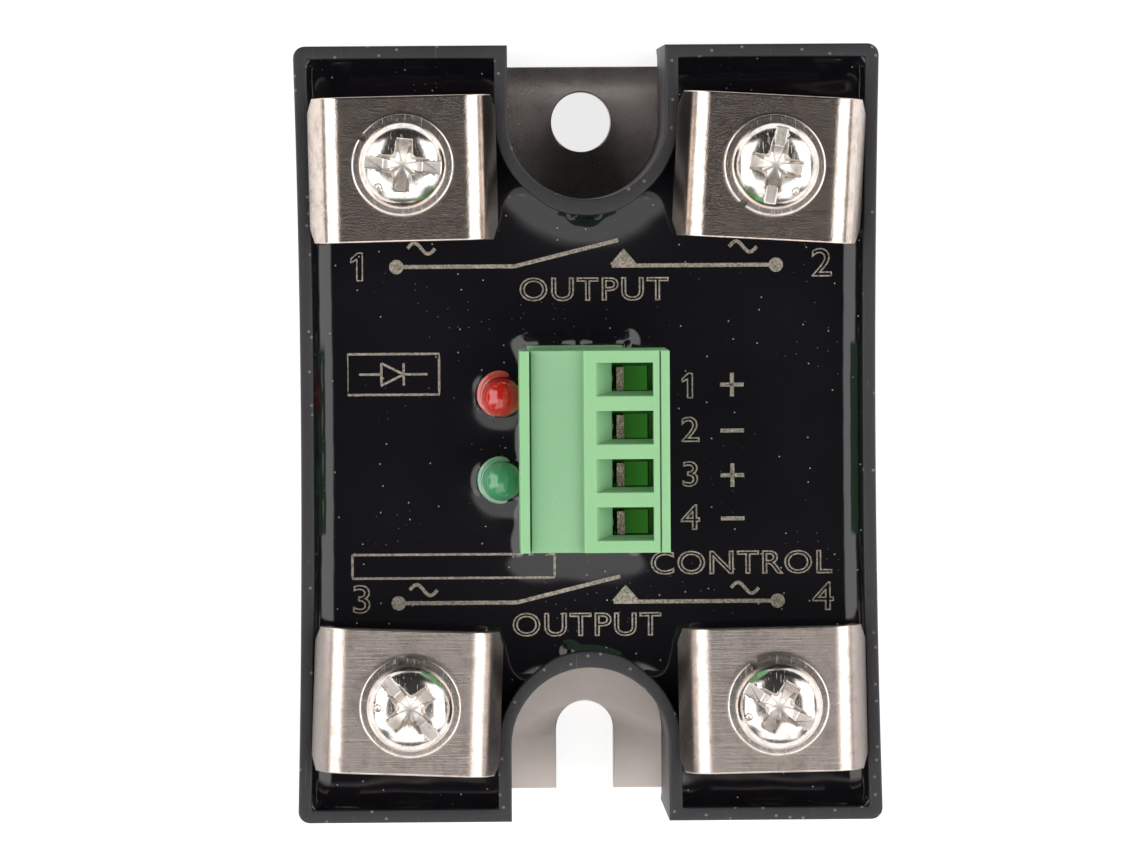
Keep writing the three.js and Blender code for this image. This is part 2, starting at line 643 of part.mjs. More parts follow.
/** Half of the clamp's section from its middle outwards, at the given depth below its top face. */
function clampSide(depth) {
  const r = CLAMP_BEND_RADIUS - depth;
  const bend = arc(CLAMP_FLAT_HALF, -CLAMP_BEND_RADIUS, r, 90, 90 - CLAMP_BEND, 4);
  const a = THREE.MathUtils.degToRad(CLAMP_BEND);
  const last = bend[bend.length - 1];
  const tip = new THREE.Vector2(last.x + CLAMP_WING * Math.cos(a), last.y - CLAMP_WING * Math.sin(a));
  return [...bend, tip];
}

function clampPlate() {
  const top = clampSide(0);
  const under = clampSide(CLAMP_THICKNESS);
  const mirrored = (points) => points.map((p) => new THREE.Vector2(-p.x, p.y)).reverse();
  const section = [...mirrored(top), ...top, ...under.slice().reverse(), ...mirrored(under).reverse()];
  const shape = new THREE.Shape(section);
  const bar = new THREE.ExtrudeGeometry(shape, { depth: CLAMP_LENGTH, bevelEnabled: false });
  bar.translate(0, 0, -CLAMP_LENGTH / 2).rotateX(Math.PI / 2);
  const reach = top[top.length - 1].x;
  const corner = (sx, sy) =>
    plan(
      [
        new THREE.Vector2(sx * (reach - CLAMP_CORNER_CUT), sy * (CLAMP_LENGTH / 2 + 0.01)),
        new THREE.Vector2(sx * (reach + 1), sy * (CLAMP_LENGTH / 2 - CLAMP_CORNER_CUT - 1)),
        new THREE.Vector2(sx * (reach + 1), sy * (CLAMP_LENGTH / 2 + 1)),
      ],
      [-6, 1],
    );
  const corners = onSides(1).flatMap((sx) => onSides(1).map((sy) => corner(sx, sy)));
  const hole = bore(SCREW_DIAMETER / 2 + CLAMP_HOLE_CLEARANCE, [0, 0], [-3, 1]);
  return cut(solid(bar), [...corners, hole]);
}

function lockWasher() {
  const ring = cut(rod(WASHER_DIAMETER / 2, [0, 0], [0, WASHER_THICKNESS], 20), [
    bore(SCREW_DIAMETER / 2 + WASHER_CLEARANCE, [0, 0], [-1, WASHER_THICKNESS + 1], 20),
  ]);
  return cut(ring, [block([0, WASHER_DIAMETER], around(0, WASHER_SPLIT / 2), [-1, WASHER_THICKNESS + 1])]);
}

function terminalScrew() {
  const r = SCREW_DIAMETER / 2;
  const head = HEAD_DIAMETER / 2;
  const whole = turned(
    [
      [0, -SCREW_LENGTH],
      [r - SCREW_POINT, -SCREW_LENGTH],
      [r, -SCREW_LENGTH + SCREW_POINT],
      [r, 0],
      ...PAN_HEAD.map(([across, up]) => [across * head, up * HEAD_HEIGHT]),
      [0, HEAD_HEIGHT],
    ],
    20,
  );
  const depth = [HEAD_HEIGHT - HEAD_RECESS_DEPTH, HEAD_HEIGHT + 1];
  const cross = HEAD_CROSS_SPAN / 2;
  return cut(whole, [
    block(around(0, head + 1), around(0, HEAD_SLOT_WIDTH / 2), depth),
    block(around(0, cross), around(0, HEAD_CROSS_WIDTH / 2), depth),
    block(around(0, HEAD_CROSS_WIDTH / 2), around(0, cross), depth),
  ]);
}

// ---- Input connector
const connectorHalf = (end) => ((POLE_COUNT - 1) * POLE_PITCH) / 2 + end;

function headerBody() {
  const y = around(CONNECTOR_Y, connectorHalf(HEADER_END));
  const inner = around(CONNECTOR_Y, connectorHalf(HEADER_END) - HEADER_WALL);
  const half = PIN_SIDE / 2 + THREAD_CLEARANCE;
  const innerX = [HEADER_LEFT + HEADER_WALL, HEADER_RIGHT - HEADER_WALL];
  return cut(block([HEADER_LEFT, HEADER_RIGHT], y, [HEADER_BOTTOM, HEADER_TOP]), [
    block(innerX, inner, [HEADER_BOTTOM + HEADER_FLOOR, HEADER_TOP + 1]),
    ...POLES.map((pole) => block(around(PIN_X, half), around(pole, half), [HEADER_BOTTOM - 1, HEADER_TOP])),
  ]);
}

function headerPin() {
  const half = PIN_SIDE / 2;
  return block(around(PIN_X, half), around(0, half), [BOARD_BOTTOM - PIN_TAIL, BOARD_TOP + PIN_RISE]);
}

const chamberHalf = CAGE_WIDTH / 2 + SLIDE_CLEARANCE;
const chamberLeft = CAGE_LEFT - CAGE_TRAVEL - PLUG_FIT;
const chamberRight = CAGE_LEFT + CAGE_LENGTH + PLUG_FIT;
const forkOuter = PIN_SIDE / 2 + SLIDE_CLEARANCE + FORK_BLADE;
const forkSpan = [PIN_X - PIN_SIDE / 2, PIN_X + PIN_SIDE / 2];

/** The plug's moulding: nose in the header, neck, and head with the wire chambers, round the poles. */
function plugBody() {
  const y = around(CONNECTOR_Y, connectorHalf(PLUG_END));
  const noseY = around(CONNECTOR_Y, connectorHalf(HEADER_END) - HEADER_WALL - PLUG_FIT);
  const noseX = [HEADER_LEFT + HEADER_WALL + PLUG_FIT, HEADER_RIGHT - HEADER_WALL - PLUG_FIT];
  const noseBottom = HEADER_BOTTOM + HEADER_FLOOR + FILL_GAP;
  const whole = joined([
    block([PLUG_LEFT, PLUG_RIGHT], y, [PLUG_HEAD_BOTTOM, PLUG_TOP]),
    block([PLUG_NECK_LEFT, PLUG_RIGHT], y, [PLUG_NECK_BOTTOM, PLUG_HEAD_BOTTOM + 1]),
    block(noseX, noseY, [noseBottom, PLUG_NECK_BOTTOM + 1]),
  ]);
  const wholeLength = around(CONNECTOR_Y, connectorHalf(PLUG_END) + 1);
  const sunk = (x, depth) => block(x, wholeLength, [PLUG_TOP - depth, PLUG_TOP + 1]);
  const panelLeft = PLUG_LEFT + PLUG_RIB;
  const panel = sunk([panelLeft, panelLeft + PLUG_PANEL_WIDTH], PLUG_PANEL_DEPTH);
  const groove = sunk([panelLeft - PLUG_GROOVE, panelLeft + 0.01], PLUG_GROOVE_DEPTH);
  const seam = sunk(around(PLUG_SEAM_X, PLUG_GROOVE / 2), PLUG_SEAM_DEPTH);
  const openingRight = WIRE_OPENING_LEFT + WIRE_OPENING_LENGTH;
  const openingHalf = WIRE_OPENING_WIDTH / 2;
  const perPole = POLES.flatMap((pole) => [
    frustum(
      [
        [CONTACT_X - FILL_GAP, openingRight],
        [pole - openingHalf + WIRE_FUNNEL, pole + openingHalf],
      ],
      [
        [WIRE_OPENING_LEFT, openingRight],
        [pole - openingHalf, pole + openingHalf],
      ],
      [CHAMBER_TOP - 0.01, PLUG_TOP + 0.01],
    ),
    block(
      [chamberLeft, chamberRight],
      around(pole, chamberHalf),
      [JOG_BOTTOM + CONTACT_THICKNESS, CHAMBER_TOP],
    ),
    block(
      [forkSpan[0] - FILL_GAP, CONTACT_X + CONTACT_THICKNESS + FILL_GAP],
      around(pole, CONTACT_WIDTH / 2 + SLIDE_CLEARANCE),
      [JOG_BOTTOM - FILL_GAP, JOG_BOTTOM + CONTACT_THICKNESS + FILL_GAP],
    ),
    block(
      [forkSpan[0] - FILL_GAP, forkSpan[1] + FILL_GAP],
      around(pole, forkOuter + FILL_GAP / 2),
      [noseBottom - 1, JOG_BOTTOM],
    ),
    crossBore(
      PLUG_SCREW_HEAD_DIAMETER / 2 + SLIDE_CLEARANCE,
      [pole, PLUG_SCREW_Z],
      [PLUG_LEFT - 1, PLUG_LEFT + PLUG_SCREW_RECESS + PLUG_SCREW_HEAD_LENGTH + SLIDE_CLEARANCE],
    ),
    crossBore(
      PLUG_SCREW_DIAMETER / 2 + SLIDE_CLEARANCE,
      [pole, PLUG_SCREW_Z],
      [PLUG_LEFT, chamberLeft + 1],
    ),
  ]);
  return cut(whole, [panel, groove, seam, ...perPole]);
}

/** A pole's contact: the bar in the wire chamber, the jog below it and the fork on the header's pin. */
function plugContact() {
  const bar = [CONTACT_X, CONTACT_X + CONTACT_THICKNESS];
  const jog = [JOG_BOTTOM, JOG_BOTTOM + CONTACT_THICKNESS];
  const blades = onSides(forkOuter - FORK_BLADE / 2).map((y) =>
    block(forkSpan, around(y, FORK_BLADE / 2), [JOG_BOTTOM - FORK_LENGTH, JOG_BOTTOM + 0.1]),
  );
  return joined([
    block(bar, around(0, CONTACT_WIDTH / 2), [JOG_BOTTOM, CONTACT_TOP]),
    block([forkSpan[0], bar[1]], around(0, CONTACT_WIDTH / 2), jog),
    ...blades,
  ]);
}

/** A rising cage: a short square tube round the contact bar, tapped through its left wall. */
function plugCage() {
  const x = [CAGE_LEFT, CAGE_LEFT + CAGE_LENGTH];
  const z = [CAGE_BOTTOM, CAGE_BOTTOM + CAGE_HEIGHT];
  const sideWall = (CAGE_WIDTH - CONTACT_WIDTH) / 2 - SLIDE_CLEARANCE;
  const inside = [x[0] + CAGE_WALL, x[1] - CAGE_WALL + SLIDE_CLEARANCE];
  return cut(block(x, around(0, CAGE_WIDTH / 2), z), [
    block(inside, around(0, CAGE_WIDTH / 2 - sideWall), [z[0] - 1, z[1] + 1]),
    crossBore(PLUG_SCREW_DIAMETER / 2 + SLIDE_CLEARANCE, [0, PLUG_SCREW_Z], [x[0] - 1, inside[0] + 0.5]),
  ]);
}

function plugScrew() {
  const headLeft = PLUG_LEFT + PLUG_SCREW_RECESS;
  const headRight = headLeft + PLUG_SCREW_HEAD_LENGTH;
  const whole = joined([
    crossRod(PLUG_SCREW_HEAD_DIAMETER / 2, [0, PLUG_SCREW_Z], [headLeft, headRight]),
    crossRod(PLUG_SCREW_DIAMETER / 2, [0, PLUG_SCREW_Z], [headRight - 0.5, CONTACT_X - PLUG_FIT]),
  ]);
  const slotX = [headLeft - 1, headLeft + PLUG_SCREW_SLOT_DEPTH];
  const slotY = around(0, PLUG_SCREW_HEAD_DIAMETER);
  const slot = block(slotX, slotY, around(PLUG_SCREW_Z, PLUG_SCREW_SLOT_WIDTH / 2));
  return cut(whole, [slot]);
}

// ---- Assembly
const relay = new THREE.Group();

/** Adds one named mesh at a place in a parent, turned about Z. */
function put(name, geometry, material, at = [0, 0, 0], turn = 0, parent = relay) {
  const mesh = new THREE.Mesh(geometry, FINISHES[material].clone());
  mesh.name = name;
  mesh.position.set(...at);
  mesh.rotation.z = THREE.MathUtils.degToRad(turn);
  parent.add(mesh);
  return mesh;
}

put("base_plate", surface(basePlate()), "aluminium");
put("housing", surface(housing()), "housing");
put("potting_gel", surface(pottingGel()), "gel");
put("pcb", surface(circuitBoard()), "board");
put("potting_cap", surface(pottingCap()), "epoxy");

const triacSurface = surface(triac());
const padY = TRIAC_Y + TRIAC_TAB_LENGTH / 2;
const [padLength, padWidth, padThickness] = PAD_SIZE;
const pad = block(around(0, padLength / 2), around(0, padWidth / 2), [0, padThickness]);
const padSurface = surface(pad);
onSides(TRIAC_X).forEach((x, i) => {
  put(`insulator_pad_${i + 1}`, padSurface, "pad", [x, padY, PLATE_THICKNESS]);
  put(`triac_${i + 1}`, triacSurface, "blackPlastic", [x, TRIAC_Y, PAD_TOP]);
});
for (const { name, at, make, material } of LAYOUT) put(name, surface(make()), material, [...at, BOARD_TOP]);

const lampSurface = surface(lamp());
put("led_red", lampSurface, "redLens", [LAMP_X, LAMP_Y.red, POTTING_TOP - LAMP_SINK]);
put("led_green", lampSurface, "greenLens", [LAMP_X, LAMP_Y.green, POTTING_TOP - LAMP_SINK]);

const lugSurface = surface(terminalLug());
const clampSurface = surface(clampPlate());
const washerSurface = surface(lockWasher());
const screwSurface = surface(terminalScrew());
TERMINALS.forEach(({ side, end, offset, clampTurn, clampShift, slotTurn }, i) => {
  const terminal = new THREE.Group();
  terminal.position.set(side * TERMINAL_X + offset[0], end * TERMINAL_Y + offset[1], 0);
  relay.add(terminal);
  put(`terminal_lug_${i + 1}`, lugSurface, "zinc", [0, 0, 0], end > 0 ? 0 : 180, terminal);
  put(`clamp_plate_${i + 1}`, clampSurface, "zinc", [...clampShift, CLAMP_TOP], clampTurn, terminal);
  put(`lock_washer_${i + 1}`, washerSurface, "screw", [0, 0, CLAMP_TOP], slotTurn + 150, terminal);
  put(`terminal_screw_${i + 1}`, screwSurface, "screw", [0, 0, WASHER_TOP], slotTurn, terminal);
});

put("header_body", surface(headerBody()), "headerGreen");
put("plug_body", surface(plugBody()), "plugGreen");
const pinSurface = surface(headerPin());
const contactSurface = surface(plugContact());
const cageSurface = surface(plugCage());
const plugScrewSurface = surface(plugScrew());
POLES.forEach((y, i) => {
  put(`header_pin_${i + 1}`, pinSurface, "contact", [0, y, 0]);
  put(`plug_contact_${i + 1}`, contactSurface, "contact", [0, y, 0]);
  put(`plug_cage_${i + 1}`, cageSurface, "zinc", [0, y, 0]);
  put(`plug_screw_${i + 1}`, plugScrewSurface, "zinc", [0, y, 0]);
});

export default relay;
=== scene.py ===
# %% [markdown]
# # A panel-mount solid state relay, finished in Blender
#
# The relay is a plastic box without a lid. It stands on an aluminium plate, black epoxy fills it to just
# below the rim, and four screw terminals, two lamps and a green connector stand out of the epoxy. The CAD
# model gives every piece its place and size. This lesson adds what CAD leaves out: rounded edges, the
# curve of the epoxy where it climbs the walls, real bends, threads, and the finish of each material.

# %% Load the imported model
import json
import math

import bmesh
import bpy
import numpy as np
from mathutils import Matrix, Vector

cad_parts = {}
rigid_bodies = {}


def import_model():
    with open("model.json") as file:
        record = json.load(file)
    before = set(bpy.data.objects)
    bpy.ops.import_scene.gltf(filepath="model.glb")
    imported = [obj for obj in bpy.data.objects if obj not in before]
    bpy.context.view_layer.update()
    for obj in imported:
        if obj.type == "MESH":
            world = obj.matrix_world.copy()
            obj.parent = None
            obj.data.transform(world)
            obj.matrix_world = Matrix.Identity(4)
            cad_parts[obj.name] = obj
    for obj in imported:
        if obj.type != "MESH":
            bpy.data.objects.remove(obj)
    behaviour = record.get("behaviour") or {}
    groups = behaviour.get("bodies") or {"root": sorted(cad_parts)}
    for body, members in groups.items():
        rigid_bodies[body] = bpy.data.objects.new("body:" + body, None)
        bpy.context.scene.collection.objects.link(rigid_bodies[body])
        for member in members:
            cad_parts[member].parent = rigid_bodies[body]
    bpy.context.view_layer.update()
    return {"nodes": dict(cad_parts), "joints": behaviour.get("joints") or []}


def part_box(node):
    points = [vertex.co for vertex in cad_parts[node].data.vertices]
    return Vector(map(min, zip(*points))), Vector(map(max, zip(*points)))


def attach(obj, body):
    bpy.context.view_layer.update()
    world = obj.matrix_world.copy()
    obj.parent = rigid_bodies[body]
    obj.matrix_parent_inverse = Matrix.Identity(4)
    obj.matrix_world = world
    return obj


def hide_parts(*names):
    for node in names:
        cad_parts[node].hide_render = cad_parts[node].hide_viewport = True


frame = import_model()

MM = 0.001
joints = {joint["name"]: joint for joint in frame["joints"]}


def box_mm(node):
    """A node's lowest and highest corners, in millimetres."""
    low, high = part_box(node)
    return np.array(low) / MM, np.array(high) / MM


LAMPS = {colour: np.mean(box_mm(f"led_{colour}"), axis=0) for colour in ("red", "green")}
print("CAD nodes:", len(frame["nodes"]), "joints:", len(joints))

# %% [markdown]
# ## Camera
#
# The relay is seen almost straight down through a long lens, from a little to its left and above its
# middle, so the far walls of the recesses show a sliver of their depth. A camera can be turned by angles,
# but a place, a point to look at and a roll are easier to read.

# %% Place the camera
CAMERA_PLACE = Vector((-13.8, 18.8, 629.0)) * MM
CAMERA_AIM = Vector((-1.35, 0.4, 20.0)) * MM
CAMERA_ROLL = math.radians(0.4)
CAMERA_LENS = 252.4


def look(place, aim, roll):
    """The camera's matrix: -Z points from place to aim, and its X axis is world X turned by roll."""
    back = (place - aim).normalized()
    right = Vector((math.cos(roll), -math.sin(roll), 0.0))
    right = (right - right.dot(back) * back).normalized()
    up = back.cross(right)
    return Matrix.Translation(place) @ Matrix((right, up, back)).transposed().to_4x4()


camera = bpy.data.objects.new("camera", bpy.data.cameras.new("camera"))
camera.data.lens = CAMERA_LENS
camera.data.sensor_width = 36
camera.data.clip_start, camera.data.clip_end = 0.05, 10
camera.matrix_world = look(CAMERA_PLACE, CAMERA_AIM, CAMERA_ROLL)
bpy.context.scene.collection.objects.link(camera)
bpy.context.scene.camera = camera
print("camera height in mm:", round(CAMERA_PLACE.z / MM))

# %% [markdown]
# ## Shader maths as Python
#
# A pattern in a material is a sum, and a sum reads best as one. The class below wraps a node's output, so
# that `1 - mask * 0.5` adds the Math nodes by itself. Every other node comes from one method, `node`.


# %% A wire that can be added, multiplied and compared
class Wire:
    """One output of a node, with Python's arithmetic."""

    def __init__(self, nodes, socket):
        self.nodes = nodes
        self.socket = socket

    def math(self, operation, *others):
        values = dict(enumerate((self, *others)))
        return self.nodes.node("ShaderNodeMath", {"operation": operation}, values)

    def __add__(self, other):
        return self.math("ADD", other)

    __radd__ = __add__

    def __mul__(self, other):
        return self.math("MULTIPLY", other)

    __rmul__ = __mul__

    def __sub__(self, other):
        return self.math("SUBTRACT", other)

    def __rsub__(self, other):
        return self.nodes.node("ShaderNodeMath", {"operation": "SUBTRACT"}, {0: other, 1: self})

    def smooth(self, low, high):
        """0 below low, 1 above high, and a soft step between; the other way round where low is the higher."""
        turned = low > high
        low, high = sorted((low, high))
        settings = {"interpolation_type": "SMOOTHSTEP"}
        values = {"Value": self, "From Min": low, "From Max": high}
        step = self.nodes.node("ShaderNodeMapRange", settings, values)
        return 1 - step if turned else step


# %% Nodes from one method
class Nodes:
    """A tree of nodes, built up one node at a time."""

    def __init__(self, tree):
        self.tree = tree
        tree.nodes.clear()

    def node(self, kind, settings=None, values=None, output=0):
        """Adds a node, sets its settings, feeds its sockets with numbers or wires, and gives one output."""
        made = self.tree.nodes.new(kind)
        for name, setting in (settings or {}).items():
            setattr(made, name, setting)
        for name, value in (values or {}).items():
            if isinstance(value, Wire):
                self.tree.links.new(value.socket, made.inputs[name])
            else:
                made.inputs[name].default_value = value
        return Wire(self, made.outputs[output]) if made.outputs else None


def linear(red, green, blue):
    """A colour on the screen, 0 to 255, as the light it stands for."""
    parts = np.array((red, green, blue)) / 255
    light = np.where(parts <= 0.04045, parts / 12.92, ((parts + 0.055) / 1.055) ** 2.4)
    return (*(float(x) for x in light), 1.0)


print("screen grey 128 as light:", round(linear(128, 128, 128)[0], 3))


# %% A finish: one material and the patterns it is made of
MIX_FACTOR, MIX_FIRST, MIX_SECOND = 0, 6, 7  # a Mix node's sockets when it mixes colours
MIX_COLOUR = 2  # and its output


class Finish(Nodes):
    """A material that varies over the piece, in millimetres of the relay's own frame."""

    def __init__(self, name):
        self.material = bpy.data.materials.new(name)
        self.material.use_nodes = True
        super().__init__(self.material.node_tree)
        self.place = self.node("ShaderNodeTexCoord", output="Object")

    def scaled(self, x, y, z, turn=0.0):
        """The place in the relay's frame, turned about Z and then scaled: 1000 gives millimetres."""
        values = {"Vector": self.place, "Scale": (x, y, z), "Rotation": (0, 0, math.radians(turn))}
        return self.node("ShaderNodeMapping", None, values)

    def along(self, axis):
        """Millimetres along the relay's X, Y or Z axis."""
        return self.node("ShaderNodeSeparateXYZ", None, {0: self.place}, axis) * (1 / MM)

    def noise(self, size, detail=3.0, rough=0.5, stretch=(1, 1, 1), turn=0.0):
        """Soft noise with features about size millimetres across, stretched by a factor along each axis."""
        place = self.scaled(*(1 / (MM * size * s) for s in stretch), turn=turn)
        values = {"Vector": place, "Scale": 1.0, "Detail": detail, "Roughness": rough}
        return self.node("ShaderNodeTexNoise", None, values)

    def specks(self, size, radius):
        """1 inside a small dot in some cells of size millimetres, seen from above, and 0 elsewhere."""
        values = {"Vector": self.scaled(*[1 / (MM * size)] * 3), "Scale": 1.0}
        flat = {"voronoi_dimensions": "2D"}
        near = self.node("ShaderNodeTexVoronoi", flat, values, "Distance")
        chance = self.node("ShaderNodeTexVoronoi", flat, values, "Color")
        picked = self.node("ShaderNodeSeparateColor", None, {0: chance}).smooth(0.62, 0.66)
        return near.smooth(radius, radius * 0.6) * picked

    def mix(self, factor, first, second):
        """The first colour where factor is 0 and the second where it is 1."""
        values = {MIX_FACTOR: factor, MIX_FIRST: first, MIX_SECOND: second}
        return self.node("ShaderNodeMix", {"data_type": "RGBA"}, values, MIX_COLOUR)

    def bump(self, height, depth):
        """A surface raised by height times depth, in millimetres."""
        return self.node("ShaderNodeBump", None, {"Height": height, "Strength": 1.0, "Distance": depth * MM})

    def shade(self, **values):
        """Ends the finish in a Principled shader. Names use _ for the spaces of its sockets."""
        sockets = {name.replace("_", " "): value for name, value in values.items()}
        shader = self.node("ShaderNodeBsdfPrincipled", None, sockets)
        self.node("ShaderNodeOutputMaterial", None, {"Surface": shader})
        return self.material


# %% [markdown]
# ## Finishes
#
# Each finish starts from the colour of the real material and adds what handling and making leave on it:
# the grain of a mould, the draw lines of rolled steel, dust on the epoxy. Painting an image would also
# work, but a pattern worked out from the place on the piece has no seams and never runs out of
# resolution.

# %% [markdown]
# ### Moulded plastic
#
# The housing is a dark plastic with a fine mould grain, and the parts on the board are plastic or coated
# too. One colour would do for a small picture. A close view needs a grain that breaks up the highlights,
# a slow cloudiness, and on the rim the dust that such a part collects. The dust is a pattern seen from
# above, so it stops at the rim: on an upright wall each grain would be drawn out into a line.


# %% Plastics
DUSTY_RIM = 0.5  # millimetres below the rim at which the dust begins


def moulded_plastic(name, colour, worn, roughness, grain=0.006):
    """Moulded plastic: a fine grain, faint cloudiness and lighter handling marks."""
    finish = Finish(name)
    cloud = finish.noise(9, 2)
    marks = finish.noise(1.4, 6, 0.7).smooth(0.62, 0.8) * 0.5
    base = finish.mix(cloud * 0.25 + marks, colour, worn)
    fine = finish.noise(0.12, 2)
    return finish.shade(
        Base_Color=base,
        Roughness=finish.noise(0.8, 4) * 0.16 + (roughness - 0.08),
        Normal=finish.bump(fine, grain),
        Specular_IOR_Level=0.45,
    )


def housing_plastic():
    """Dark glass-filled plastic, faintly clouded, with dust on its rim and fine scratches."""
    finish = Finish("housing_plastic")
    cloud = finish.noise(6, 3)
    crest = box_mm("housing")[1][2]
    dust = finish.specks(1.1, 0.12) * finish.along("Z").smooth(crest - DUSTY_RIM, crest - 0.2)
    scratches = finish.noise(0.9, 4, 0.6, (0.12, 6, 1)).smooth(0.66, 0.72) * 0.35
    base = finish.mix(cloud * 0.5, linear(27, 26, 30), linear(44, 42, 46))
    base = finish.mix(scratches + dust * 0.7, base, linear(126, 118, 116))
    grain = finish.noise(0.16, 3, 0.7)
    return finish.shade(
        Base_Color=base,
        Roughness=cloud * 0.2 + 0.36 + dust * 0.3,
        Normal=finish.bump(grain, 0.03),
        Specular_IOR_Level=0.5,
    )


# %% [markdown]
# ### Epoxy and its marks
#
# Cast epoxy sets as smooth as glass, so almost all that is seen of it are reflections, and the rest is
# dust that fell on it. A low roughness gives the first, and dots in a few cells of a grid the second. The
# marks are etched into it. They are dry and tan, so they get a finish of their own instead of a pattern
# in the epoxy's.


# %% Epoxy and marks
def epoxy():
    """Cast black epoxy: mirror smooth, with dust, grit in patches and a few short fibres."""
    finish = Finish("cast_epoxy")
    dust = finish.specks(1.9, 0.035)
    grit = finish.specks(0.8, 0.05) * finish.noise(5, 2).smooth(0.5, 0.62)
    fibre = finish.noise(1.3, 5, 0.75, (0.2, 2.5, 1), 35).smooth(0.745, 0.76)
    cloud = finish.noise(7, 3)
    base = finish.mix(cloud, linear(12, 11, 15), linear(21, 20, 25))
    base = finish.mix(dust + grit * 0.45 + fibre * 0.5, base, linear(150, 142, 136))
    waves = finish.noise(3.5, 1)
    return finish.shade(
        Base_Color=base,
        Roughness=(dust + grit) * 0.4 + finish.noise(1.6, 4) * 0.05 + 0.045,
        Normal=finish.bump(waves, 0.012),
        Specular_IOR_Level=0.5,
    )


def etched_mark():
    """Laser-etched lines in the epoxy: dry, tan and a little broken."""
    finish = Finish("etched_mark")
    broken = finish.noise(0.16, 3)
    base = finish.mix(broken.smooth(0.3, 0.7), linear(92, 86, 80), linear(164, 154, 141))
    return finish.shade(Base_Color=base, Roughness=0.75, Normal=finish.bump(broken, 0.02))


# %% [markdown]
# ### Green connector nylon
#
# The plug and its header are green nylon, slightly milky. Their faces above a set height are painted paler,
# a painted highlight for the light the top faces catch, and their thin walls let light into the wire
# chambers, which would otherwise be black holes. Letting light through every wall would take very long to
# draw without noise, so a little glow deep in the chambers stands for it.

# %% Connector nylon
LIT_DEPTH = 32.0  # height under which the plug's chambers are lit only through their walls
CHAMBER_START, CHAMBER_END = 1.5, 5.2  # the chambers' ends along X: more light comes in at the far one
LIT_TOP_HEIGHT = 32.9  # height above which the plug is painted paler: a painted highlight on its top faces
GLOW = (0.35, 1.6, 0.2, 1)


def connector_plastic(name, colour, shade, inner_glow):
    """Green nylon with faint flow clouds, a satin mould grain, pale flecks, lit chambers and a painted
    highlight: faces above a set height take the paler colour, and lower faces the shade colour.
    """
    finish = Finish(name)
    cloud = finish.noise(2.6, 3)
    flecks = finish.specks(0.9, 0.05)
    height = finish.along("Z")
    far = finish.along("X").smooth(CHAMBER_START, CHAMBER_END)
    depth = height.smooth(LIT_DEPTH, LIT_DEPTH - 1.5) * (far * 0.6 + 0.5)
    glow = finish.mix(depth * inner_glow, (0, 0, 0, 1), GLOW)
    # painted highlight: the plug's top faces are mixed towards the paler colour for the light they catch
    painted_top_light = height.smooth(LIT_TOP_HEIGHT - 0.4, LIT_TOP_HEIGHT)
    base = finish.mix(cloud.smooth(0.1, 0.9) * 0.2 + painted_top_light * 0.8, shade, colour)
    base = finish.mix(flecks * 0.4, base, linear(188, 222, 184))
    return finish.shade(
        Base_Color=base,
        Roughness=finish.noise(0.5, 3) * 0.15 + 0.33,
        Normal=finish.bump(finish.noise(0.15, 3), 0.008),
        Emission_Color=glow,
        Emission_Strength=1.0,
        Subsurface_Weight=0.25,
        Subsurface_Radius=(0.0006, 0.0012, 0.0006),
        Subsurface_Scale=1.0,
    )


# %% [markdown]
# ### Metals
#
# Bare metal has no colour of its own beyond a tint. What tells the pieces apart is how they break up a
# reflection: pits and stains on the aluminium, rolling lines and grain on the clamps' sheet, dents from
# the plating drum on the screws, and bright grains on the sheared edges of the contacts. Each is noise
# stretched along the way that piece was made. A driver's recess is duller than the rest of its screw, and
# an attribute on the faces says where it is.

# %% Metals
RECESS = "recess"  # the attribute that marks the faces a driver's recess is made of


def base_aluminium():
    """Milled aluminium, finely pitted and faintly stained, with painted light that grows towards the slot's
    end, where it is also rougher.
    """
    finish = Finish("base_aluminium")
    pits = finish.noise(0.14, 4, 0.7)
    stains = finish.noise(5, 4, 0.6)
    base = finish.mix(stains.smooth(0.3, 0.7), linear(148, 139, 135), linear(178, 169, 165))
    base = finish.mix(pits.smooth(0.6, 0.72) * 0.45, base, linear(92, 83, 78))
    # painted light: the plate is mixed towards a lighter colour towards the slot's end (-Y), and made rougher
    # there
    worn = finish.along("Y").smooth(12, -12)
    base = finish.mix(worn * 0.65, base, linear(202, 193, 188))
    return finish.shade(
        Base_Color=base,
        Metallic=0.9,
        Roughness=stains * 0.08 + pits * 0.1 + worn * 0.16 + 0.2,
        Normal=finish.bump(pits, 0.012),
    )


WING_SHADE_START = 19.4  # millimetres from the middle at which the painted shade on the clamps' outer wings begins
WING_SHADE_SOFT = 0.9


def plated_steel(name, colour, dark, roughness, lines, grip=0.7, painted_wing_shade=0.0):
    """Plated sheet steel: rolling lines along X, grain, stains and, where asked, painted shade on the outer
    wings.
    """
    finish = Finish(name)
    rolled = finish.noise(0.3, 4, 0.6, (14, 0.4, 1))
    stain = finish.noise(1.3, 5, 0.7)
    grain = finish.noise(0.13, 3, 0.7)
    base = finish.mix(stain.smooth(0.42, 0.72) * 0.6, colour, dark)
    base = finish.mix(grain.smooth(0.58, 0.7) * 0.35, base, dark)
    across = finish.along("X")
    # painted shade: the outer wings, far from the middle along X, are darkened so they mirror less of the
    # bright floor
    base = finish.mix((across * across).smooth(WING_SHADE_START**2, (WING_SHADE_START + WING_SHADE_SOFT) ** 2) * painted_wing_shade, base, dark)
    height = rolled * lines + stain * 0.3 + grain * grip
    return finish.shade(
        Base_Color=base,
        Metallic=1.0,
        Roughness=stain * 0.1 + rolled * 0.06 + (roughness - 0.08),
        Normal=finish.bump(height, 0.006),
    )


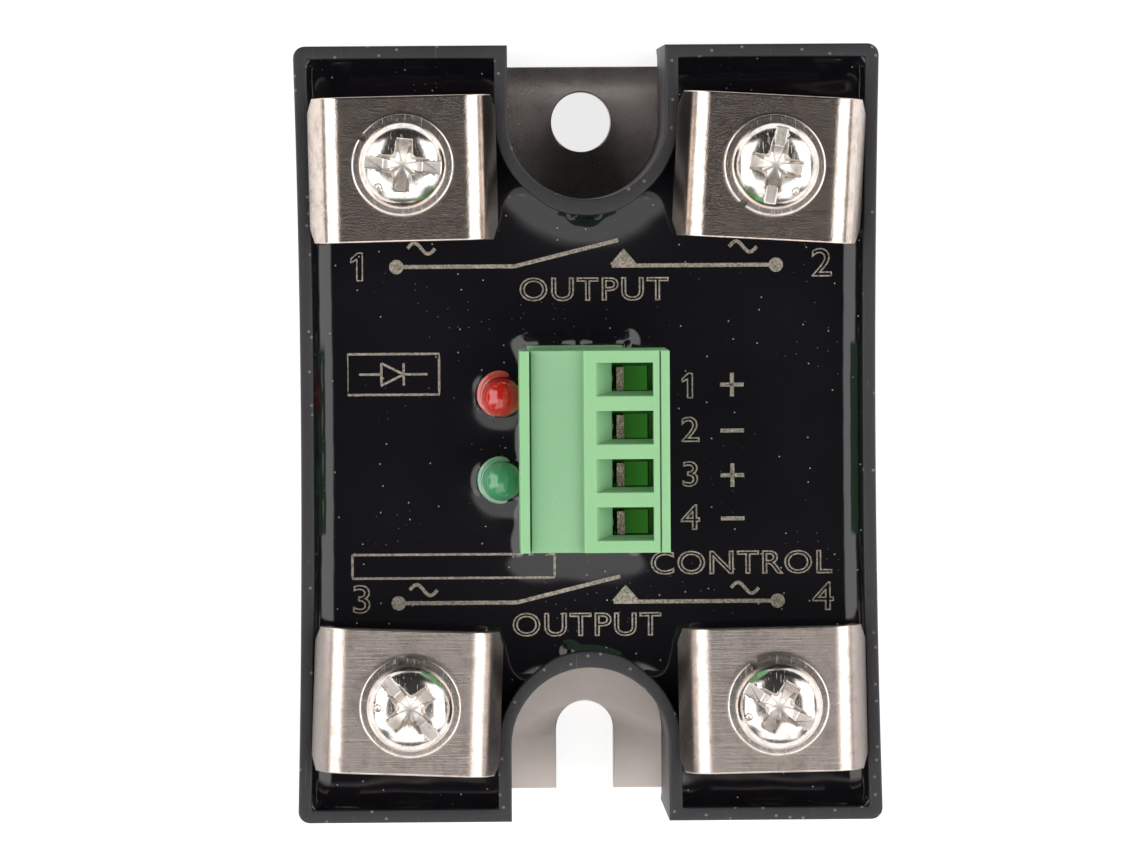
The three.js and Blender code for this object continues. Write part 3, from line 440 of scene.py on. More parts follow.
def bright_steel(name, colour, roughness):
    """Bright plated steel with soft tumbling dents and hairline scratches, duller in a driver's recess."""
    finish = Finish(name)
    recess = finish.node("ShaderNodeAttribute", {"attribute_name": RECESS}, output="Fac")
    dents = finish.noise(0.7, 4, 0.6)
    hair = finish.noise(0.6, 3, 0.6, (0.06, 3, 1), 40).smooth(0.66, 0.7)
    base = finish.mix(dents.smooth(0.45, 0.75) * 0.5, colour, linear(146, 138, 133))
    return finish.shade(
        Base_Color=base,
        Metallic=1.0,
        Roughness=dents * 0.12 + hair * 0.2 + recess * 0.22 + roughness,
        Normal=finish.bump(dents + hair * 0.3, 0.014),
    )


def tinned_edge():
    """Sheared and tinned contact metal: grainy, dull, with bright grains."""
    finish = Finish("tinned_edge")
    grain = finish.noise(0.13, 3, 0.7)
    base = finish.mix(grain.smooth(0.46, 0.7), linear(92, 84, 72), linear(186, 176, 158))
    return finish.shade(Base_Color=base, Metallic=0.85, Roughness=0.42, Normal=finish.bump(grain, 0.05))


# %% [markdown]
# ### Lamp resin
#
# A lamp's lens is cast in tinted resin, milky enough to spread its light. Clear coloured glass would show
# only the floor behind it. A mix of some transmission, some scattering below the surface and a clear coat
# keeps the colour, and the flange, which is thin, is paler than the middle.


# %% Lamp resin
LENS_CORE, LENS_RIM = 1.15, 1.6  # radii between which the resin goes from its full colour to its pale one


def lamp_resin(name, colour, pale, centre):
    """Tinted, slightly milky resin, paler in the thin flange than in the thick middle."""
    finish = Finish(name)
    cloud = finish.noise(0.9, 2)
    x, y = finish.along("X") - centre[0], finish.along("Y") - centre[1]
    thin = (x * x + y * y).smooth(LENS_CORE**2, LENS_RIM**2)
    return finish.shade(
        Base_Color=finish.mix(thin * 0.75 + cloud * 0.1, colour, pale),
        Roughness=cloud * 0.04 + 0.03,
        Transmission_Weight=0.35,
        IOR=1.5,
        Coat_Weight=0.6,
        Coat_Roughness=0.03,
        Subsurface_Weight=0.3,
        Subsurface_Radius=(0.001, 0.0006, 0.0006),
        Subsurface_Scale=1.0,
        Normal=finish.bump(cloud, 0.003),
    )


# %% [markdown]
# ### One finish of each kind
#
# Pieces of the same material share one finish, as they share one batch of material on the real relay. The
# upper and lower clamps differ: the upper pair is still bright, and the lower pair has gone satin, with a
# painted shade on its outer wings. The cages in the plug are painted dark green: painted shade and the
# painted green light of the chambers they stand in.

# %% One of each
FINISHES = {
    "housing": housing_plastic(),
    "epoxy": epoxy(),
    "mark": etched_mark(),
    # the first colour of each connector is that of its top faces, painted paler as a painted highlight
    "plug": connector_plastic("plug_green", linear(137, 184, 136), linear(123, 169, 129), 0.05),
    "header": connector_plastic("header_green", linear(120, 168, 122), linear(108, 154, 112), 0.02),
    "base": base_aluminium(),
    "clamp": plated_steel("clamp_steel", linear(222, 208, 198), linear(160, 144, 134), 0.16, 0.4, 2.2),
    # the last value sets the painted shade on the lower clamps' outer wings
    "satin": plated_steel("satin_steel", linear(208, 196, 189), linear(140, 128, 122), 0.29, 1.8, 1.6, 0.8),
    "lug": plated_steel("lug_steel", linear(170, 160, 152), linear(120, 110, 102), 0.36, 0.3),
    # painted shade: the cage steel is dark green for the shade and green light deep in the plug's chambers
    "cage": plated_steel("cage_painted_chamber_shade", linear(48, 86, 40), linear(36, 66, 30), 0.5, 0.3),
    "screw": bright_steel("screw_steel", linear(232, 226, 221), 0.12),
    "washer": bright_steel("washer_steel", linear(208, 200, 194), 0.2),
    "tin": tinned_edge(),
    "red": lamp_resin("red_resin", linear(224, 42, 36), linear(238, 112, 100), LAMPS["red"]),
    "green": lamp_resin("green_resin", linear(78, 172, 118), linear(146, 204, 166), LAMPS["green"]),
    "board": moulded_plastic("board_mask", linear(24, 66, 34), linear(46, 96, 52), 0.4),
    "device": moulded_plastic("device_black", linear(26, 26, 28), linear(52, 52, 54), 0.5, 0.012),
    "capacitor": moulded_plastic("capacitor_case", linear(150, 44, 36), linear(176, 70, 58), 0.35),
    "resistor": moulded_plastic("resistor_coat", linear(186, 160, 112), linear(150, 120, 80), 0.4),
    "pad": moulded_plastic("insulating_pad", linear(214, 210, 200), linear(180, 176, 168), 0.7),
    "gel": moulded_plastic("soft_gel", linear(186, 180, 166), linear(160, 152, 138), 0.3),
}
print("finishes:", len(FINISHES))

# %% [markdown]
# ## Surfaces from grids
#
# Most pieces here are a surface over two parameters: a profile carried along an outline, a profile turned
# round an axis, or a sheet bent out of its plane. numpy works out all the points at once, and one
# function joins them into quads. Modelling by hand would do for one relay, but a formula can be read and
# changed.


# %% Grids, meshes and pieces
def grid_faces(rows, columns, close_rows=False, close_columns=False):
    """The quads between neighbouring rows and columns of points, wrapped round where a direction closes."""
    r = np.arange(rows if close_rows else rows - 1)[:, None]
    c = np.arange(columns if close_columns else columns - 1)[None, :]
    r2, c2 = (r + 1) % rows, (c + 1) % columns
    corners = [r * columns + c, r * columns + c2, r2 * columns + c2, r2 * columns + c]
    return np.stack([np.broadcast_to(k, (r.size, c.size)).ravel() for k in corners], 1)


def mesh_of(name, parts):
    """One mesh from [(points in millimetres, faces)], its doubles merged and its faces turned outwards."""
    mesh = bpy.data.meshes.new(name)
    points, faces, start = [], [], 0
    for part_points, part_faces in parts:
        flat = np.asarray(part_points, float).reshape(-1, 3)
        points.append(flat)
        faces.extend([corner + start for corner in face] for face in part_faces)
        start += len(flat)
    mesh.from_pydata((np.concatenate(points) * MM).tolist(), [], faces)
    tidy(mesh)
    return mesh


def tidy(mesh, merge=2e-6):
    """Merges a mesh's doubled points, drops faces without area and turns the rest outwards."""
    work = bmesh.new()
    work.from_mesh(mesh)
    bmesh.ops.remove_doubles(work, verts=work.verts, dist=merge)
    bmesh.ops.dissolve_degenerate(work, edges=work.edges, dist=1e-7)
    bmesh.ops.recalc_face_normals(work, faces=work.faces)
    work.to_mesh(mesh)
    work.free()


def smooth(mesh, angle):
    """Shades a mesh smooth except over edges sharper than angle."""
    mesh.shade_smooth()
    mesh.set_sharp_from_angle(angle=math.radians(angle))


EDGE_STEPS = 2


def piece(name, mesh, finish, body, stands_for=(), round_edge=0.0, angle=35):
    """An object of a mesh in the relay's frame, with its finish and edge rounding, riding on a body."""
    made = bpy.data.objects.new(name, mesh)
    bpy.context.scene.collection.objects.link(made)
    mesh.materials.clear()
    mesh.materials.append(FINISHES[finish])
    smooth(mesh, angle)
    if round_edge:
        bevel = made.modifiers.new("edges", "BEVEL")
        bevel.width = round_edge * MM
        bevel.segments = EDGE_STEPS
        bevel.limit_method = "ANGLE"
        bevel.angle_limit = math.radians(angle)
        bevel.use_clamp_overlap = False
        bevel.harden_normals = True
    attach(made, body)
    if stands_for:
        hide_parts(*stands_for)
    return made


def placed(mesh, name, at, turn):
    """A copy of a mesh, turned about Z by degrees and moved by millimetres."""
    copy = mesh.copy()
    copy.name = name
    copy.transform(Matrix.Translation(Vector(at) * MM) @ Matrix.Rotation(math.radians(turn), 4, "Z"))
    return copy


def turned(profile, steps=64):
    """Points of a profile of (radius, height) turned round the Z axis: (r cos a, r sin a, h)."""
    r, h = np.array(profile, float).T
    a = np.linspace(0, 2 * np.pi, steps, endpoint=False)
    points = np.stack([r[:, None] * np.cos(a), r[:, None] * np.sin(a), h[:, None] + 0 * a], -1)
    return points, grid_faces(len(r), steps, close_columns=True)


def smoothstep(x, low, high):
    """0 below low, 1 above high, and 3 t^2 - 2 t^3 between."""
    t = np.clip((x - low) / (high - low), 0, 1)
    return t * t * (3 - 2 * t)


print("quads of a closed 3 by 4 grid:", len(grid_faces(3, 4, True, True)))

# %% [markdown]
# ## Housing
#
# The housing is one wall, a millimetre thick, that follows the relay's outline and dips round a recess at
# each end. It could be a box with holes cut out of it. Carrying a rounded wall profile along the outline
# gives the same shape with soft rims and no boolean leftovers. Moulding has pulled the long sides in a
# little at their middle.

# %% Sizes of the housing, from the CAD box
house_low, house_high = box_mm("housing")
plate_low, plate_high = box_mm("base_plate")
HALF_WIDTH, HALF_LENGTH, RIM = house_high
FOOT = house_low[2]
PLATE_TOP = plate_high[2]
WALL = 1.0
RECESS_RADIUS = 6.0
RECESS_Y = 23.8
CORNER = 0.9
SIDE_PULL = 0.42
RIM_ROUND = 0.14
FOOT_SINK = 0.05  # of the recess walls, into the plate
CREST_PAD_HALF = 3.5  # a pad on the inside of each recess's crest
CREST_PAD_SOFT = (-1.1, 0.9)  # how far inside and outside that its ends fade
CREST_PAD_STEP = 0.25
PULL_START, PULL_END = 12, 21  # of the long walls' pull, from the middle
CORNER_STEPS, SIDE_STEPS, END_STEPS, RECESS_STEPS, ROUND_STEPS = 7, 40, 12, 8, 49


def arc(x, y, radius, start, end, steps):
    """Points (x + r cos a, y + r sin a) for a from start to end degrees."""
    a = np.radians(np.linspace(start, end, steps))
    return np.stack([x + radius * np.cos(a), y + radius * np.sin(a)], -1)


def line(start, end, steps):
    """Evenly spaced points from start towards end, without the last one."""
    t = np.linspace(0, 1, steps, endpoint=False)[1:, None]
    return np.array(start) * (1 - t) + np.array(end) * t


def outline(inset):
    """The relay's outline moved in by inset, and 1 for each point whose wall stands on the plate, else 0.

    It has the same number of points for every inset. One half goes round the lower right corner, up the right
    side, along the upper end and round its recess, and the other half is the same turned by half a circle. Only
    the recesses' walls stand on the plate."""
    x, y, u = HALF_WIDTH - inset, HALF_LENGTH - inset, RECESS_RADIUS + inset
    r = max(CORNER - inset, 0.25)
    half = [
        (arc(x - r, -y + r, r, -90, 0, CORNER_STEPS), 0),
        (line((x, -y + r), (x, y - r), SIDE_STEPS), 0),
        (arc(x - r, y - r, r, 0, 90, CORNER_STEPS), 0),
        (line((x - r, y), (u, y), END_STEPS), 0),
        (np.array([[u, y]]), 0),
        (line((u, y), (u, RECESS_Y), RECESS_STEPS), 1),
        (arc(0, RECESS_Y, u, 0, -180, ROUND_STEPS), 1),
        (line((-u, RECESS_Y), (-u, y), RECESS_STEPS), 1),
        (np.array([[-u, y]]), 0),
        (line((-u, y), (-x + r, y), END_STEPS), 0),
    ]
    points = np.concatenate([p for p, _ in half])
    inside = np.concatenate([np.full(len(p), flag) for p, flag in half])
    return np.concatenate([points, -points]), np.tile(inside, 2)


def pulled(points):
    """Moves points of the long walls inwards: most at mid length, and not at all at the ends."""
    x, y = points[..., 0], points[..., 1]
    share = smoothstep(np.abs(x), PULL_START, PULL_END) * (1 - (y / HALF_LENGTH) ** 2)
    moved = points.copy()
    moved[..., 0] -= np.sign(x) * share * SIDE_PULL
    return moved


print("outline points:", len(outline(0)[0]))


# %% Carry the wall profile along the outline
def wall_profile(foot):
    """(inset, height) round the wall's section: up the outside, over the rounded rim, down the inside."""
    r = RIM_ROUND
    quarter = np.radians(np.linspace(0, 90, 5))
    outer = np.stack([r - r * np.cos(quarter), RIM - r + r * np.sin(quarter)], -1)
    inner = np.stack([WALL - r + r * np.sin(quarter), RIM - r + r * np.cos(quarter)], -1)
    heights = np.linspace(foot, RIM - r, 6)[:-1]
    up = np.stack([np.zeros(5), heights], -1)
    down = np.stack([np.full(5, WALL), heights[::-1]], -1)
    return np.concatenate([up, outer, inner, down])


def housing_mesh():
    """Each row is the outline at one step of the profile, so the grid closes both ways."""
    low, high = wall_profile(FOOT), wall_profile(PLATE_TOP - FOOT_SINK)
    rows = []
    for (inset, z_out), (_, z_in) in zip(low, high):
        flat, inside = outline(inset)
        z = np.where(inside > 0, z_in, z_out)
        if inset > WALL / 2:
            near_crest = (np.abs(flat[:, 1]) < RECESS_Y - RECESS_RADIUS / 2) * inside
            start, end = (CREST_PAD_HALF + reach for reach in CREST_PAD_SOFT)
            share = 1 - smoothstep(np.abs(flat[:, 0]), start, end)
            flat[:, 1] -= near_crest * share * np.sign(flat[:, 1]) * CREST_PAD_STEP
        rows.append(np.concatenate([flat, z[:, None]], 1))
    grid = pulled(np.array(rows))
    return mesh_of("housing_wall", [(grid, grid_faces(*grid.shape[:2], True, True))])


housing = piece("housing_wall", housing_mesh(), "housing", "relay", ["housing"], angle=40)
print("housing points:", len(housing.data.vertices))

# %% [markdown]
# ## Epoxy
#
# Liquid epoxy wets what it touches and climbs it before it sets. The rise dies away with distance like a
# hanging chain seen upside down: height = rise * exp(-distance / reach). Those slopes are what shows on
# the real relay, because they catch the lights beside it while the level part mirrors the dark above. The
# top is a height field on a square grid, cut off inside the walls, with a flat underside.

# %% Height of the epoxy at any place
POTTING_TOP = box_mm("potting_cap")[1][2]
header_low, header_high = box_mm("header_body")
FLANGE = 1.85  # radius of a lamp's flange
SIDE_RISES = ((1.1, 0.75), (1.0, 0.9), (0.75, 1.45))  # rise and reach at side, end and recess walls
PIECE_RISE, PIECE_REACH = 0.75, 1.15
LAMP_RISE, LAMP_REACH = 0.3, 0.9
HUMPS = ((-2.8, 7.05), (1.25, 7.05))  # epoxy drawn up over two stubs at the header's end
HUMP_RISE, HUMP_LENGTH, HUMP_WIDTH = 0.75, 1.75, 0.7
LUMPS = ((0.2, 16.75, 0.5, 0.55), (-0.7, 16.6, 0.3, 0.4), (-1.6, -16.5, 0.3, 0.4))  # x, y, height, width
BELOW_RIM = 0.35  # the epoxy never climbs nearer to the rim


def wall_distances(x, y):
    """How far a place is from the side walls, the end walls and the recess walls, in millimetres."""
    side = HALF_WIDTH - WALL - np.abs(x)
    end = HALF_LENGTH - WALL - np.abs(y)
    recess = np.hypot(x, np.maximum(RECESS_Y - np.abs(y), 0)) - RECESS_RADIUS - WALL
    return side, end, recess


def header_distance(x, y):
    """Distance outside the header's rectangle, 0 inside it."""
    dx = np.maximum(np.maximum(header_low[0] - x, x - header_high[0]), 0)
    dy = np.maximum(np.maximum(header_low[1] - y, y - header_high[1]), 0)
    return np.hypot(dx, dy)


def epoxy_height(x, y):
    """The level, slow waves from casting, and a rise of exp(-distance / reach) at every wall and piece."""
    z = POTTING_TOP + 0.012 * np.sin(x / 3.1 + 1) * np.cos(y / 4.3) + 0.008 * np.sin(y / 2.3 + x / 5)
    uneven = 1 + 0.1 * np.sin(1.1 * x + 0.7 * y) * np.cos(0.9 * y - 0.4 * x)
    uneven = uneven + 0.03 * np.sin(2.9 * y + 1.3 * x)
    calm = 0.75 + 0.25 * uneven
    for distance, (rise, reach) in zip(wall_distances(x, y), SIDE_RISES):
        z = z + rise * calm * np.exp(-np.maximum(distance, -0.6) / reach)
    z = z + PIECE_RISE * uneven * np.exp(-header_distance(x, y) / PIECE_REACH)
    for lamp in LAMPS.values():
        gap = np.maximum(np.hypot(x - lamp[0], y - lamp[1]) - FLANGE, 0)
        z = z + LAMP_RISE * uneven * np.exp(-gap / LAMP_REACH)
    for hx, hy in HUMPS:
        z = z + HUMP_RISE * np.exp(-(((x - hx) / HUMP_LENGTH) ** 4) - ((y - hy) / HUMP_WIDTH) ** 2)
    for lx, ly, high, wide in LUMPS:
        z = z + high * np.exp(-((x - lx) ** 2 + (y - ly) ** 2) / wide**2)
    return np.minimum(z, RIM - BELOW_RIM)


print("epoxy height beside a side wall:", round(float(epoxy_height(21.2, 0.0)), 2))

# %% Build the epoxy
EPOXY_STEP = 0.25
EPOXY_FLOOR = POTTING_TOP - 1.2
EPOXY_MARGIN = 0.4  # between the grid and the outside of the housing
INTO_WALL = 0.75  # how far the sheet runs on into the walls


def closed_below(points, faces, floor):
    """A sheet with a flat underside at floor and a wall down from every edge that only one face uses."""
    count = len(points)
    under = np.concatenate([points[:, :2], np.full((count, 1), floor)], 1)
    edges = np.stack([faces, np.roll(faces, -1, 1)], -1).reshape(-1, 2)
    _, first, uses = np.unique(np.sort(edges, 1), axis=0, return_index=True, return_counts=True)
    rim = edges[first[uses == 1]]
    walls = np.stack([rim[:, 0], rim[:, 0] + count, rim[:, 1] + count, rim[:, 1]], 1)
    return np.concatenate([points, under]), np.concatenate([faces, faces[:, ::-1] + count, walls])


def epoxy_mesh():
    """A square grid of points at epoxy_height. Cells beyond the middle of a wall are left out."""
    across, along = HALF_WIDTH - EPOXY_MARGIN, HALF_LENGTH - EPOXY_MARGIN
    xs = np.arange(-across, across + 0.01, EPOXY_STEP)
    ys = np.arange(-along, along + 0.01, EPOXY_STEP)
    x, y = np.meshgrid(xs, ys)
    points = pulled(np.stack([x, y, epoxy_height(x, y)], -1))
    faces = grid_faces(*x.shape)
    depth = np.min(wall_distances(x, y), 0).ravel()
    kept = faces[(depth[faces] > -INTO_WALL).all(1)]
    used, again = np.unique(kept, return_inverse=True)
    sheet = closed_below(points.reshape(-1, 3)[used], again.reshape(kept.shape), EPOXY_FLOOR)
    return mesh_of("epoxy_top", [sheet])


potting = piece("epoxy_top", epoxy_mesh(), "epoxy", "relay", ["potting_cap"], angle=80)
print("epoxy points:", len(potting.data.vertices))

# %% [markdown]
# ## Etched marks
#
# The marks are etched lines that a maker adds when the epoxy has set: terminal numbers, signs and a
# switch diagram for each output. An image would need a texture file, and a shader pattern would need a
# formula for every line. Thin strips laid on the epoxy's own height follow its waves and stay sharp at
# any size. Figures are drawn as outlines, so each stroke shows its two edges.

# %% Strips and outlined figures on the epoxy
STROKE, THIN_STROKE, WAVE_STROKE, FLAG_STROKE = 0.3, 0.18, 0.26, 0.1
MARK_LIFT = 0.012
MARK_DEPTH = 0.05
MARK_DROP = np.array([0, 0, MARK_DEPTH])
OUTLINE_RADIUS = 0.055
FIGURE_SHAPE = np.array([1.12, 1, 0.5])  # figures are a little wide, and their lines flat


def strip(path, width=STROKE):
    """A flat strip along a path: at each point, half a width to either side across the path's direction."""
    path = np.array(path, float)
    fine = np.concatenate([np.linspace(a, b, 9)[:-1] for a, b in zip(path[:-1], path[1:])] + [path[-1:]])
    along = np.gradient(fine, axis=0)
    along /= np.linalg.norm(along, axis=1, keepdims=True)
    across = np.stack([-along[:, 1], along[:, 0]], -1) * width / 2
    sides = np.stack([fine - across, fine + across])
    z = epoxy_height(sides[..., 0], sides[..., 1])
    top = np.concatenate([sides, z[..., None] + MARK_LIFT], -1)
    under = top - MARK_DROP
    loop = np.stack([top[0], top[1], under[1], under[0]])
    n = len(fine)
    caps = np.array([[0, n, 2 * n, 3 * n], [n - 1, 4 * n - 1, 3 * n - 1, 2 * n - 1]])
    return loop, np.concatenate([grid_faces(4, n, close_rows=True), caps])


def filled(corners):
    """A flat filled mark with the given corners."""
    flat = np.array(corners, float)
    top = np.concatenate([flat, epoxy_height(*flat.T)[:, None] + MARK_LIFT], 1)
    points = np.stack([top, top - MARK_DROP])
    n = len(flat)
    caps = [list(range(n)), list(range(n, 2 * n))]
    return points, grid_faces(2, n, close_columns=True).tolist() + caps


def dot(x, y, radius):
    """A filled round mark: rings of points from its middle to its edge."""
    rings = np.linspace(0, 1, 4)[:, None] * radius
    angles = np.linspace(0, 2 * np.pi, 24, endpoint=False)
    px, py = x + rings * np.cos(angles), y + rings * np.sin(angles)
    top = np.stack([px, py, epoxy_height(px, py) + MARK_LIFT], -1)
    low = top[-1:] - MARK_DROP
    centre = low * 0 + low.mean(1, keepdims=True)
    grid = np.concatenate([top, low, centre])
    return grid, grid_faces(*grid.shape[:2], close_columns=True)


def tilde(x, y, width=2.1, height=0.42):
    """One wave, y = h sin(2 pi t), drawn along its width."""
    t = np.linspace(0, 1, 12)
    return strip(np.stack([x + (t - 0.5) * width, y + height * np.sin(2 * np.pi * t)], -1), WAVE_STROKE)


def figure(text, x, y, size):
    """Figures as thin outlines, from Blender's own font, made a mesh and laid at the epoxy's height."""
    curve = bpy.data.curves.new("figure", "FONT")
    curve.body = text
    curve.size = size * MM
    curve.align_x, curve.align_y = "CENTER", "CENTER"
    curve.fill_mode = "NONE"
    curve.bevel_depth = OUTLINE_RADIUS * MM
    curve.bevel_resolution = 1
    curve.resolution_u = 4
    curve.space_character = 1.08
    holder = bpy.data.objects.new("figure", curve)
    bpy.context.scene.collection.objects.link(holder)
    flat = bpy.data.meshes.new_from_object(holder.evaluated_get(bpy.context.evaluated_depsgraph_get()))
    bpy.data.objects.remove(holder)
    points = np.empty(len(flat.vertices) * 3, np.float32)
    flat.vertices.foreach_get("co", points)
    points = points.reshape(-1, 3).astype(float) / MM * FIGURE_SHAPE
    points[:, :2] += (x, y)
    points[:, 2] += epoxy_height(points[:, 0], points[:, 1]) + 0.005
    return points, [list(p.vertices) for p in flat.polygons]


print("width of a stroke:", STROKE, "mm")


# %% Lay out the marks
TERMINAL_X = 14.5
UPPER_LINE, LOWER_LINE = 12.72, -12.9
INPUT_SIGNS = ((3.6, True), (0.1, False), (-3.3, True), (-6.6, False))  # y, and whether it is a plus


def switch_diagram(y, wave_lift):
    """Dot, line, open arm, triangle, line, dot, with a wave over each end: one switched output."""
    return [
        dot(-TERMINAL_X, y, 0.55),
        strip([(-TERMINAL_X, y), (-5.5, y)]),
        strip([(-5.5, y), (2.4, y + 1.95)]),
        strip([(1.9, y), (14.4, y)]),
        filled([(1.75, y + 0.1), (3.85, y + 0.1), (2.8, y + 1.3)]),
        dot(14.4, y, 0.55),
        tilde(-12.6, y + wave_lift),
        tilde(11.9, y + wave_lift),
    ]


def box_path(left, top, right, bottom):
    """The closed path round a box."""
    return [(left, top), (right, top), (right, bottom), (left, bottom), (left, top)]


def marks_mesh():
    """Both switch diagrams, a boxed diode, an empty box, and a plus or minus for each input."""
    diode = [(-15.7, 5.4), (-15.7, 3.7), (-14.0, 4.55), (-15.7, 5.4)]
    bars = [[(-17.4, 4.55), (-15.7, 4.55)], [(-14.0, 5.4), (-14.0, 3.7)], [(-14.0, 4.55), (-12.2, 4.55)]]
    thin = [box_path(-18.3, 6.1, -11.3, 3.0), diode, *bars]
    parts = switch_diagram(UPPER_LINE, 1.4) + switch_diagram(LOWER_LINE, 1.0)
    parts += [strip(path, THIN_STROKE) for path in thin]
    for y, crossed in INPUT_SIGNS:
        parts.append(strip([(10.1, y), (11.9, y)]))
        if crossed:
            parts.append(strip([(11.0, y - 0.9), (11.0, y + 0.9)]))
    parts.append(strip(box_path(-18.0, -9.2, -2.6, -11.0), THIN_STROKE))
    return mesh_of("etched_lines", parts)


def one(x, y, size):
    """The outline of a 1 with its flag, which Blender's font leaves off."""
    stem = [(-0.07, -0.35), (0.07, -0.35), (0.07, 0.35)]
    flag = [(-0.05, 0.35), (-0.22, 0.2), (-0.22, 0.1), (-0.07, 0.2)]
    return strip([(x + size * u, y + size * v) for u, v in [*stem, *flag, stem[0]]], FLAG_STROKE)


def figures_mesh():
    """Terminal numbers, input numbers and the words for the outputs and the input."""
    numbers = [("2", 17.9, 12.75), ("3", -17.3, -12.7), ("4", 17.9, -12.7)]
    inputs = [("2", 7.8, 0.1), ("3", 7.8, -3.3), ("4", 7.8, -6.6)]
    words = [("OUTPUT", 0.5, 10.85), ("OUTPUT", -0.2, -14.7), ("CONTROL", 11.6, -10.05)]
    parts = [figure(text, x, y, 3.0) for text, x, y in numbers]
    parts += [figure(text, x, y, 2.65) for text, x, y in inputs]
    parts += [figure(text, x, y, 2.45) for text, x, y in words]
    parts += [one(-17.3, 12.75, 3.0), one(7.8, 3.55, 2.65)]
    return mesh_of("etched_figures", parts)


lines = piece("etched_lines", marks_mesh(), "mark", "relay", angle=30)
figures = piece("etched_figures", figures_mesh(), "mark", "relay", angle=60)
print("faces of the lines and figures:", len(lines.data.polygons), len(figures.data.polygons))

# %% [markdown]
# ## Base plate
#
# The plate is flat stock with a round hole at one end and an open slot at the other. Cutting cylinders
# out of a block works, but a flat outline that is filled, thickened and rounded keeps the round edges
# truly round, so it is drawn as a 2-D curve and made a mesh.


# %% Flat plates from outlines
def flat_plate(name, loops, bottom, top, edge):
    """A plate between two heights whose outline and holes are closed loops of points, its edges rounded."""
    curve = bpy.data.curves.new(name, "CURVE")
    curve.dimensions = "2D"
    curve.fill_mode = "BOTH"
    curve.extrude = (top - bottom) / 2 * MM - edge * MM
    curve.bevel_depth = edge * MM
    curve.offset = -edge * MM
    curve.bevel_resolution = 2
    for loop in loops:
        spline = curve.splines.new("POLY")
        spline.points.add(len(loop) - 1)
        flat = np.concatenate([np.array(loop) * MM, np.zeros((len(loop), 1)), np.ones((len(loop), 1))], 1)
        spline.points.foreach_set("co", flat.ravel())
        spline.use_cyclic_u = True
    holder = bpy.data.objects.new(name, curve)
    bpy.context.scene.collection.objects.link(holder)
    mesh = bpy.data.meshes.new_from_object(holder.evaluated_get(bpy.context.evaluated_depsgraph_get()))
    bpy.data.objects.remove(holder)
    mesh.transform(Matrix.Translation((0, 0, (top + bottom) / 2 * MM)))
    tidy(mesh)
    return mesh


HOLE_RADIUS = 2.325
SLOT_HALF = 2.25
PLATE_EDGE = 0.12
x1, y1 = plate_high[:2]
y0 = plate_low[1]
plate_loop = np.concatenate(
    [
        [[-x1, y0], [-SLOT_HALF, y0]],
        arc(0, -RECESS_Y, SLOT_HALF, 180, 0, 40),
        [[SLOT_HALF, y0], [x1, y0], [x1, y1], [-x1, y1]],
    ]
)
hole_loop = arc(0, RECESS_Y, HOLE_RADIUS, 0, 360, 73)[:-1]
plate = flat_plate("base_plate_finished", [plate_loop, hole_loop], 0, PLATE_TOP, PLATE_EDGE)
piece("base_plate_finished", plate, "base", "relay", ["base_plate"], angle=30)
print("plate faces:", len(plate.polygons))

# %% [markdown]
# ## Wire clamps
#
# Each clamp is a plate of sheet steel with its two sides bent down. The sheet is laid out flat first, as
# in a workshop: rings of points run from the screw hole out to the cut outline, over the edge and back
# underneath. Then every point is bent: within the flat nothing moves, and past it the point goes round
# the bend's radius and on straight. Bending a finished mesh with a modifier would crowd the hole; this
# formula leaves it round.

# %% Lay out and bend a clamp
FLAT_HALF = 4.55
BEND_RADIUS = 2.0
BEND_ANGLE = math.radians(70)
SHEET = 1.0
CLAMP_HALF = 5.5
WING = 2.2
HOLE = 2.5
CORNER_CUT = 1.1
CLAMP_EDGE = 0.12
BEND_LENGTH = BEND_RADIUS * BEND_ANGLE
SHEET_HALF = FLAT_HALF + BEND_LENGTH + WING


def blank_edge(angles):
    """How far the flat blank reaches in each direction: a rectangle with its corners cut off.

    The reach is the least of the reaches to the four sides and the four corner lines."""
    c, s = np.abs(np.cos(angles)) + 1e-9, np.abs(np.sin(angles)) + 1e-9
    corner = (SHEET_HALF + CLAMP_HALF - CORNER_CUT) / (c + s)
    return np.minimum(np.minimum(SHEET_HALF / c, CLAMP_HALF / s), corner)


def blank_angles():
    """Evenly spaced directions, with the eight directions of the outline's corners among them."""
    along = math.atan2(CLAMP_HALF - CORNER_CUT, SHEET_HALF)
    across = math.atan2(CLAMP_HALF, SHEET_HALF - CORNER_CUT)
    corners = np.array([along, across, math.pi - across, math.pi - along])
    even = np.linspace(0, 2 * np.pi, 280, endpoint=False)
    return np.unique(np.concatenate([even, corners, corners + math.pi]).round(9))


def bent(x, y, depth):
    """Where a point of the blank goes: flat, round the bend by (|x| - flat) / radius, then straight on."""
    beyond = np.maximum(np.abs(x) - FLAT_HALF, 0)
    a = np.minimum(beyond / BEND_RADIUS, BEND_ANGLE)
    rest = np.maximum(beyond - BEND_LENGTH, 0)
    radius = BEND_RADIUS - depth
    across = np.minimum(np.abs(x), FLAT_HALF) + radius * np.sin(a) + rest * np.cos(a)
    height = -BEND_RADIUS + radius * np.cos(a) - rest * np.sin(a)
    return np.stack([np.sign(x) * across, y, height], -1)


